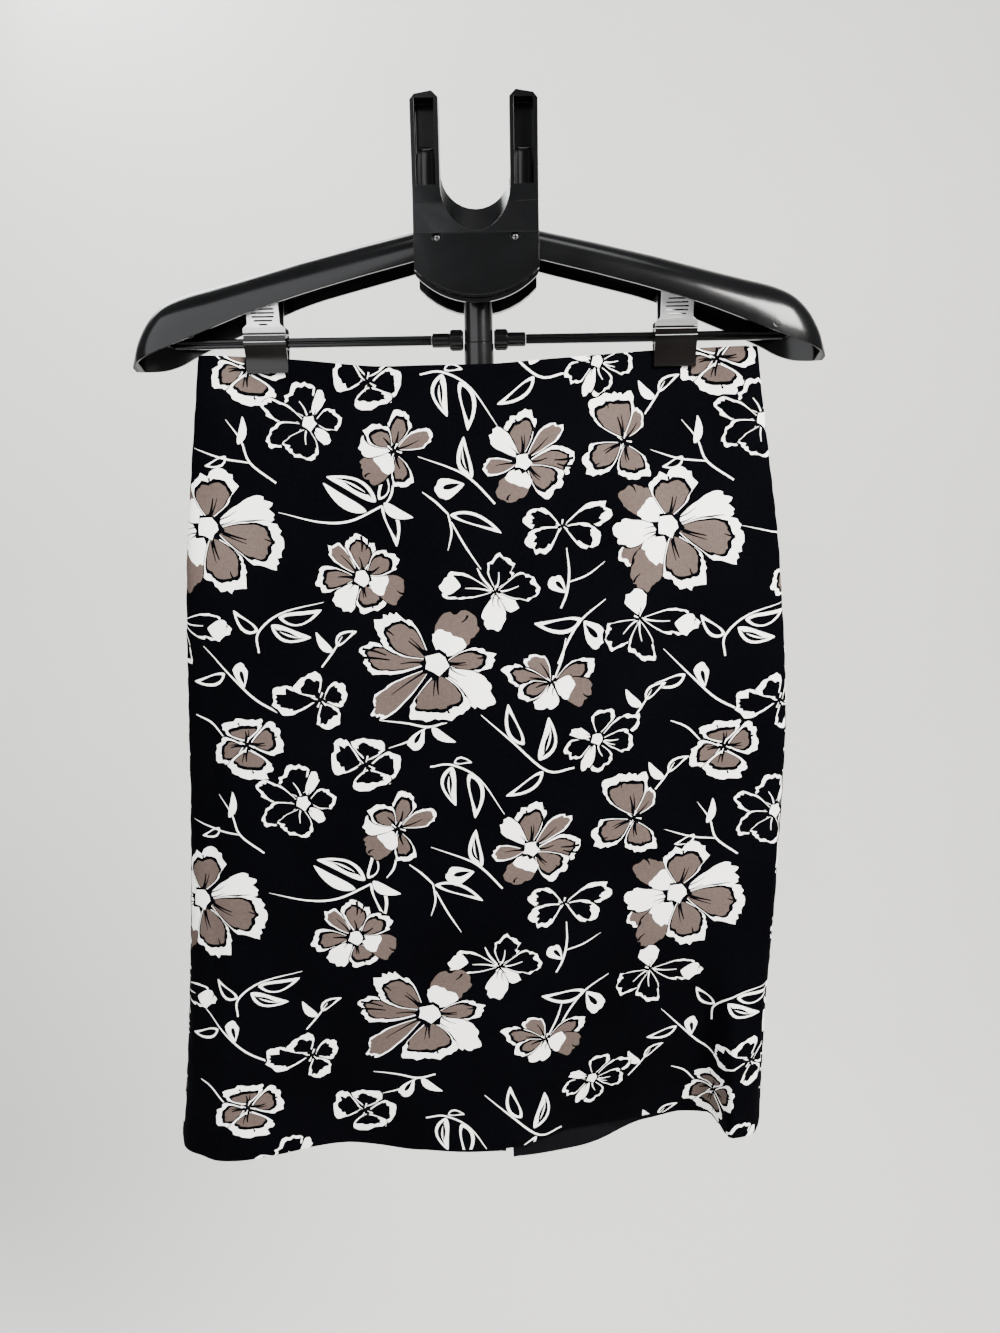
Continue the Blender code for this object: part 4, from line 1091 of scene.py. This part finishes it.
def screw_head(name, centre, material, sides=24):
    """A screw's head, turned round a y axis."""
    points = []
    for h, r in SCREW_HEAD:
        for k in range(sides):
            a = 2.0 * math.pi * k / sides
            points.append(tuple(m + n for m, n in zip(centre, (r * math.cos(a), h, r * math.sin(a)))))
    rows = len(SCREW_HEAD) - 1
    faces = rows_of_faces(rows, sides)
    faces += [tuple(range(sides)), tuple(range(rows * sides, (rows + 1) * sides))]
    add_piece(name, points, faces, material, "steel")


def arm_line(x, inset):
    """Half a ring of an arm: from its front lip over the top to its back lip."""
    rows = np.asarray(ARM_SECTIONS, float)
    top, half_depth, front_lip, back_lip = curve_through(rows[:, 0], rows[:, 1:], x)
    top, half_depth = top - inset, max(half_depth - inset, 0.6)
    line = []
    for i in range(ARM_ARCH + 1):
        angle = math.pi * (i / ARM_ARCH - 0.5)
        lip = front_lip if angle < 0 else back_lip
        y = half_depth * math.copysign(abs(math.sin(angle)) ** ARM_SQUARENESS, angle)
        line.append((y, lip + (top - lip) * max(math.cos(angle), 0.0) ** ARM_SQUARENESS))
    return line


def build_arm(name, way, material):
    """One arm: a channel, open below, closed at its far end."""
    first, last = ARM_SECTIONS[0][0], ARM_SECTIONS[-1][0]
    end = last - 2.0 * ARM_WALL
    count = ARM_ARCH + 1
    points = []
    for r in range(ARM_ROWS + 1):
        share = math.sin(r / ARM_ROWS * math.pi / 2.0)
        outside, within = first + (last - first) * share, first + (end - first) * share
        points += [(way * outside, y, z) for y, z in arm_line(outside, 0.0)]
        points += [(way * within, y, z) for y, z in reversed(arm_line(within, ARM_WALL))]
    ring, far = 2 * count, 2 * count * ARM_ROWS
    faces = rows_of_faces(ARM_ROWS, ring)
    faces += [tuple(range(ring)), tuple(range(far, far + count)), tuple(range(far + count, far + ring)),
              (far, far + count - 1, far + count, far + ring - 1)]
    arm = add_piece("arm_shell_" + name, points, faces, material, "black_plastic", 0.5, 42.0)
    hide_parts("arm_" + name)
    low, high = sorted((way * RIB[0], way * RIB[1]))
    prism("arm_rib_" + name, RIB_OUTLINE, "x", low, high, material, 0.3)
    return arm


def mark_on(name, surface, camera, x, y, material, sides=24, rings=8):
    """A small moulded ring on a surface, where the picture shows it."""
    ray = Vector(((x - PICTURE[0] / 2.0) / FOCAL, (PICTURE[1] / 2.0 - y) / FOCAL, -1.0))
    way = (camera.matrix_world.to_3x3() @ ray).normalized()
    _, place, normal, _ = surface.ray_cast(camera.location, way)
    turn = normal.to_track_quat("Z", "Y").to_matrix()
    points = []
    for i in range(sides):
        a = 2.0 * math.pi * i / sides
        for j in range(rings):
            b = 2.0 * math.pi * j / rings
            r = MARK_RADIUS + MARK_THICK * math.cos(b)
            local = Vector((r * math.cos(a), r * math.sin(a), MARK_TALL * math.sin(b)))
            points.append(tuple(place / MM + turn @ local))
    faces = [tuple(corner % len(points) for corner in face) for face in rows_of_faces(sides, rings)]
    add_piece(name, points, faces, material)


def plate_half(z):
    """Half the width of a steel plate at a height."""
    low, high = CLIP_SHOULDERS
    corner = PLATE_ROUND
    half = CLIP_JAW_WIDTH / 2.0 + (CLIP_FINGER_WIDTH - CLIP_JAW_WIDTH) / 2.0 * ease((z - low) / (high - low))
    above = max(z - CLIP_PLATE[-1][1] + corner, 0.0) / corner
    return half - corner * (1.0 - math.sqrt(max(1.0 - above ** 2, 0.0)))


def build_plate(name, centre, face, material, shade):
    """A steel finger plate with its round patch of grip slots cut through; the faces that look into the clip
    get dark steel as painted shade.
    """
    low, bend, top = (z for _, z in CLIP_PLATE)
    corner = PLATE_ROUND
    heights = np.concatenate([np.linspace(low, top - corner, 26), top - corner + corner * np.sin(
        np.linspace(0.0, math.pi / 2.0, 8)[1:])])
    edge = [(plate_half(z), z) for z in heights]
    outline = np.array([(u, v) for u, v in edge] + [(-u, v) for u, v in reversed(edge)])
    shapes = []
    for k in range(-3, 4):
        z, half = SLOT_CENTRE + k * SLOT_STEP, math.sqrt(SLOT_PATCH ** 2 - (k * SLOT_STEP) ** 2)
        r = SLOT_TALL / 2.0
        ring = [(way * (half - r) + r * math.cos(a), z + r * math.sin(a))
                for way, turn in ((1.0, -1.57), (-1.0, 1.57)) for a in np.linspace(turn, turn + 3.14, 6)]
        shapes.append((np.array(ring), WHITE))
    extra = [(u, v) for u in np.arange(-12.0, 12.1, 3.0) for v in (54.8, 56.0, 57.0, 58.0, 60.0, 74.0)
             if abs(u) < plate_half(v) - 1.0]
    flat, triangles, colours = cut_flat(outline, extra, shapes)
    path = np.array(CLIP_PLATE)

    def layer(thick):
        bows = [0.35 * np.sin(math.pi * np.clip((v - bend) / (top - bend), 0.0, 1.0)) for _, v in flat]
        return [(centre + u, face * (curve_through(path[:, 1], path[:, 0], v) + bow + thick), v)
                for (u, v), bow in zip(flat, bows)]

    plate = add_piece(f"clip_{name}_finger",
                      *thickened(layer(0.0), triangles[colours == BLACK].tolist(), layer(CLIP_PLATE_THICK)),
                      material, "steel", 0.18, 30.0)
    # Painted shade: the second material, a dark copy of the steel, goes on the faces that look into the clip.
    plate.data.materials.append(shade)
    for polygon in plate.data.polygons:
        polygon.material_index = 1 if polygon.normal.y * face > 0.5 else 0
    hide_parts(f"clip_{name}_plate")


def build_line(name, points, radius, material):
    """A thin moulded ridge along a few points."""
    data = bpy.data.curves.new(name, "CURVE")
    data.dimensions, data.bevel_depth, data.bevel_resolution = "3D", radius * MM, 3
    data.use_fill_caps = True
    spline = data.splines.new("POLY")
    spline.points.add(len(points) - 1)
    for point, place in zip(spline.points, points):
        point.co = (*(c * MM for c in place), 1.0)
    data.materials.append(material)
    line = add_object(name, data)
    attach(line, "root")


def lower_arc(drop, inset, steps=40):
    """The round lower edge of the front plate, moved down and in."""
    rise = PLATE_CORNER - PLATE_BOTTOM
    radius = (PLATE_HALF_WIDTH ** 2 + rise ** 2) / (2.0 * rise)
    half = math.asin((PLATE_HALF_WIDTH - inset) / radius)
    turns = [-half + 2.0 * half * i / steps for i in range(steps + 1)]
    return [(radius * math.sin(a), PLATE_BOTTOM - drop + radius * (1.0 - math.cos(a))) for a in turns]


def notch_lip(way):
    """The edge where one side of the flared notch meets the plate's front."""
    slope = NOTCH_FLARE / (NOTCH_BEND - PLATE_FRONT)
    line = []
    for degrees in range(-74, -1, 6):
        turn, y = math.radians(degrees), PRONG_FRONT
        for _ in range(10):
            z = NOTCH_CENTRE - slope * (NOTCH_BEND - y) + NOTCH_RADIUS * math.sin(turn)
            share = min(max((z - SHOULDER_LOW) / (SHOULDER_HIGH - SHOULDER_LOW), 0.0), 1.0)
            y = PLATE_FRONT + share * (PRONG_FRONT - PLATE_FRONT)
        line.append((way * NOTCH_RADIUS * math.cos(turn), y, z))
    return line


def pocket_form(name, middle, half, material, steps=16, columns=12):
    """The crowned form that fills the low end of a prong's pocket."""
    row = columns + 1
    points = []
    for i in range(steps + 1):
        t = i / steps
        proud = POCKET_FORM_PROUD * math.sqrt(max(1.0 - t ** 3, 0.0))
        reach = half * math.sqrt(max(1.0 - (0.55 * t ** 4), 0.2))
        for k in range(row):
            a = k / columns * 2.0 - 1.0
            y = POCKET_FLOOR - 0.02 - proud * math.sqrt(1.0 - 0.7 * a * a)
            points.append((middle + a * reach, y, POCKET_LOW + 0.2 + POCKET_FORM_TALL * t))
    under = [(x, POCKET_FLOOR - 0.01, z) for x, _, z in points]
    points, faces = thickened(points, rows_of_faces(steps, row, False), under)
    add_piece("pocket_form_" + name, points, faces, material, angle=50.0)


def build_hub_detail(plastic, steel):
    """The second lip, ridges, screws and pocket forms of the hub; each screw's cross recess is a black box,
    painted shade.
    """
    low_edge = lower_arc(HUB_LIP_DROP, HUB_LIP_INSET)
    lip = low_edge + list(reversed(lower_arc(HUB_LIP_GAP, HUB_LIP_INSET)))
    prism("hub_lip", lip, "y", *HUB_LIP, plastic, 0.45)
    rim = [(x, PLATE_FRONT - 0.05, z) for x, z in lower_arc(-1.5, 1.3)]
    build_line("hub_rim", rim, 0.38, plastic)
    for name, way in WAYS:
        low = [(way * x, PLATE_FRONT + 0.05 * k, SHOULDER_LOW - 1.0 + 0.35 * k + 0.04 * (x - 12.0))
               for k, x in enumerate((PLATE_HALF_WIDTH - 1.6, 32.0, 24.0, 18.0, 13.0))]
        build_line("shoulder_low_" + name, low, RIDGE, plastic)
        high = [(way * x, PRONG_FRONT, SHOULDER_HIGH + up)
                for x, up in ((PLATE_HALF_WIDTH - 1.2, 0.6), (25.4, 0.0))]
        build_line("shoulder_high_" + name, high, RIDGE, plastic)
        build_line("notch_lip_" + name, notch_lip(way), 0.3, plastic)
        screw_head("screw_" + name, (way * SCREW_X, SCREW_FLOOR, SCREW_Z), steel)
        # Painted shade: the cross recess of each screw is a black box standing on its head, not a cut.
        for part, wide, tall in (("a", CROSS_LONG, CROSS_WIDE), ("b", CROSS_WIDE, CROSS_LONG)):
            corners = (-1, -1), (1, -1), (1, 1), (-1, 1)
            cross = [(way * SCREW_X + u * wide, SCREW_Z + v * tall) for u, v in corners]
            low, high = (SCREW_FLOOR + depth for depth in CROSS_DEPTH)
            prism(f"screw_cross_{name}_{part}", cross, "y", low, high, plastic)
        pocket_form(name, way * sum(POCKET_X) / 2.0, (POCKET_X[1] - POCKET_X[0]) / 2.0 - 0.15, plastic)


def build_clip_detail(gloss, steel, shade):
    """The steel plates, dark inside as painted shade, the raised band of each jaw with bright lines along its
    edges as painted highlights, and its folded foot.
    """
    for name, centre in CLIP_CENTRES:
        low, high = centre - JAW_HALF, centre + JAW_HALF
        for side, face in (("front", 1.0), ("back", -1.0)):
            build_plate(f"{name}_{side}", centre, face, steel, shade)
            band, foot = ([(face * y, z) for y, z in outline] for outline in (JAW_BAND, JAW_FOOT))
            prism(f"jaw_band_{name}_{side}", band, "x", low, high, gloss, 0.25)
            # Painted highlights: a thin bright steel line along each edge of the band stands in for the light
            # its rounded edge catches.
            for z, y in JAW_HIGHLIGHT_LINES:
                ends = [(x, face * y, z) for x in (low, high)]
                build_line(f"jaw_edge_{name}_{side}_{z:.0f}", ends, 0.24, steel)
            prism(f"jaw_foot_{name}_{side}", foot, "x", low, high, gloss, 0.15)


def build_connector_ribs(plastic):
    """The grip ribs, each a bar of eight points."""
    sides = (0, 1, 2, 3), (7, 6, 5, 4), (0, 4, 5, 1), (1, 5, 6, 2), (2, 6, 7, 3), (3, 7, 4, 0)
    for name, way in WAYS:
        points, faces = [], []
        for k in range(RIB_COUNT):
            a = 2.0 * math.pi * (k + 0.5) / RIB_COUNT
            c, d = math.cos(a), math.sin(a)
            faces += [tuple(len(points) + i for i in side) for side in sides]
            points += [(way * x, r * c - w * d, ROD_Z + r * d + w * c)
                       for x in RIB_X for r, w in RIB_PROFILE]
        add_piece("connector_ribs_" + name, points, faces, plastic, bevel=0.1)


# --- The stage ---------------------------------------------------------------------
# The floor and backdrop, in metres.
STAGE_HALF, STAGE_FLOOR, STAGE_BACK = 4.0, -1.45, 1.5
SWEEP, SWEEP_STEPS = 1.2, 24
LIGHTS = (
    # name, place, target, size, power, colour
    ("key", (1.15, -1.25, 0.85), (0.0, 0.0, -0.2), (0.75, 0.75), 155.0, (1.0, 0.985, 0.96)),
    ("fill", (-1.6, -2.0, 0.6), (0.0, 0.0, -0.3), (3.0, 3.0), 110.0, (0.97, 0.98, 1.0)),
    ("back", (-0.9, 1.15, 1.25), (0.0, 0.0, -0.2), (1.0, 0.8), 40.0, (0.98, 0.99, 1.0)),
    ("top", (0.1, -0.5, 1.6), (0.0, 0.0, 0.0), (1.0, 0.5), 9.0, (1.0, 1.0, 1.0)),
)


def make_camera():
    data = bpy.data.cameras.new("camera")
    data.lens, data.sensor_width, data.sensor_fit = LENS, SENSOR, "AUTO"
    data.clip_start, data.clip_end = 0.01, 20.0
    camera = add_object("camera", data)
    tilt = Matrix.Rotation(math.radians(90.0) - math.atan(CAMERA_DROP), 4, "X")
    roll = Matrix.Rotation(-math.radians(CAMERA_ROLL), 4, "Z")
    camera.matrix_world = Matrix.Translation(CAMERA_PLACE) @ tilt @ roll
    bpy.context.scene.camera = camera
    bpy.context.view_layer.update()
    return camera


def stage_sweep(material):
    """The floor, which curves up into the backdrop."""
    turns = [math.pi / 2.0 * k / SWEEP_STEPS for k in range(SWEEP_STEPS + 1)]
    line = [(-STAGE_HALF, STAGE_FLOOR)]
    line += [(STAGE_BACK - SWEEP + SWEEP * math.sin(a), STAGE_FLOOR + SWEEP * (1.0 - math.cos(a)))
             for a in turns]
    line.append((STAGE_BACK, STAGE_HALF))
    mesh = bpy.data.meshes.new("sweep")
    mesh.from_pydata([(x, y, z) for y, z in line for x in (-STAGE_HALF, STAGE_HALF)], [],
                     [(2 * k, 2 * k + 1, 2 * k + 3, 2 * k + 2) for k in range(len(line) - 1)])
    mesh.shade_smooth()
    mesh.materials.append(material)
    sweep = add_object("sweep", mesh)


def build_stage():
    n = Nodes("pale_ground")
    cloud = n.noise(n.add("TexCoord", "Object", {}), 1.3, 3.0, 0.5)
    colour = n.ramp(cloud, 0.3, (0.66, 0.655, 0.635), 0.7, (0.70, 0.695, 0.675))
    stage_sweep(n.out(Base_Color=colour, Roughness=n.span(cloud, 0.8, 0.9)))
    world = bpy.data.worlds.new("studio")
    world.use_nodes = True
    background = world.node_tree.nodes["Background"]
    background.inputs["Color"].default_value = (0.96, 0.97, 1.0, 1.0)
    background.inputs["Strength"].default_value = 0.30
    bpy.context.scene.world = world
    for name, place, target, size, power, colour in LIGHTS:
        data = bpy.data.lights.new(name, "AREA")
        data.shape, data.size, data.size_y = "RECTANGLE", size[0], size[1]
        data.energy, data.color = power, colour
        light = add_object(name, data)
        light.location = place
        light.rotation_euler = (Vector(target) - Vector(place)).to_track_quat("-Z", "Y").to_euler()


def build_skirt(camera):
    materials = [
        cloth_material("cotton_black", (0.0003, 0.0003, 0.0006), (0.0012, 0.0013, 0.0020), 0.88, 0.0, 0.012),
        cloth_material("cotton_white", (0.86, 0.84, 0.80), (0.98, 0.965, 0.94), 0.85, 0.03, 0.10),
        cloth_material("cotton_taupe", (0.056, 0.040, 0.034), (0.092, 0.069, 0.060), 0.86, 0.01, 0.06),
        cloth_material("cotton_inside", (0.0010, 0.0010, 0.0014), (0.0032, 0.0032, 0.0040), 0.90, 0.01, 0.04)]
    for side, columns, shift in (("front", FRONT_GRID, None), ("back_left", BACK_GRID, (-40.0, 60.0)),
                                 ("back_right", BACK_GRID, (95.0, -35.0))):
        panel = Panel("cloth_" + side, side, columns)
        panel.crease(crease_heights(panel, CREASES[side]))
        shapes = back_print(panel, *shift) if shift else front_print(panel, camera)
        shell = build_panel(panel, shapes, materials)
        node = "skirt_" + side
        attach(shell, "root")
        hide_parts(node)
        drops = np.linalg.norm(np.diff(panel.surface, axis=0), axis=2).sum(axis=0)


def build_hanger(camera):
    plastic = plastic_material("hanger_plastic", (0.0008, 0.0009, 0.0010), (0.0020, 0.0021, 0.0023),
                               0.17, 0.05)
    tube = plastic_material("hanger_tube", (0.0030, 0.0030, 0.0033), (0.0062, 0.0062, 0.0066), 0.20, 0.04)
    gloss = plastic_material("jaw_lacquer", (0.0022, 0.0018, 0.0016), (0.0048, 0.0041, 0.0037), 0.12, 0.03)
    screw = steel_material("screw_steel", (0.10, 0.10, 0.10), (0.24, 0.24, 0.24), 0.30)
    steel = steel_material("clip_steel", (0.70, 0.70, 0.70), (0.90, 0.90, 0.89), 0.30)
    # A dark copy of the steel that paints the shade on the inner faces of the clip plates.
    shade = steel_material("clip_steel_painted_shade", (0.015, 0.015, 0.015), (0.035, 0.035, 0.035), 0.45)
    for name in sorted(NODES):
        if name.startswith(("skirt", "arm")) or name.endswith("_plate"):
            continue
        if name in ("stem", "stem_socket"):
            refined(name, tube, "black_tube", 0.4, 34.0)
        else:
            bevel, angle = {"fork": (0.6, 16.0), "hub_back": (0.8, 34.0)}.get(name, (0.3, 34.0))
            refined(name, gloss if name.endswith("_jaw") else plastic, "black_plastic", bevel, angle)
    for name, way in WAYS:
        arm = build_arm(name, way, plastic)
        bpy.context.view_layer.update()
        mark_on("arm_mark_" + name, arm, camera, *MARK_PLACES[name], plastic)
    build_hub_detail(plastic, screw)
    build_clip_detail(gloss, steel, shade)
    build_connector_ribs(plastic)


main_camera = make_camera()
build_stage()
build_skirt(main_camera)
build_hanger(main_camera)
bpy.context.view_layer.update()
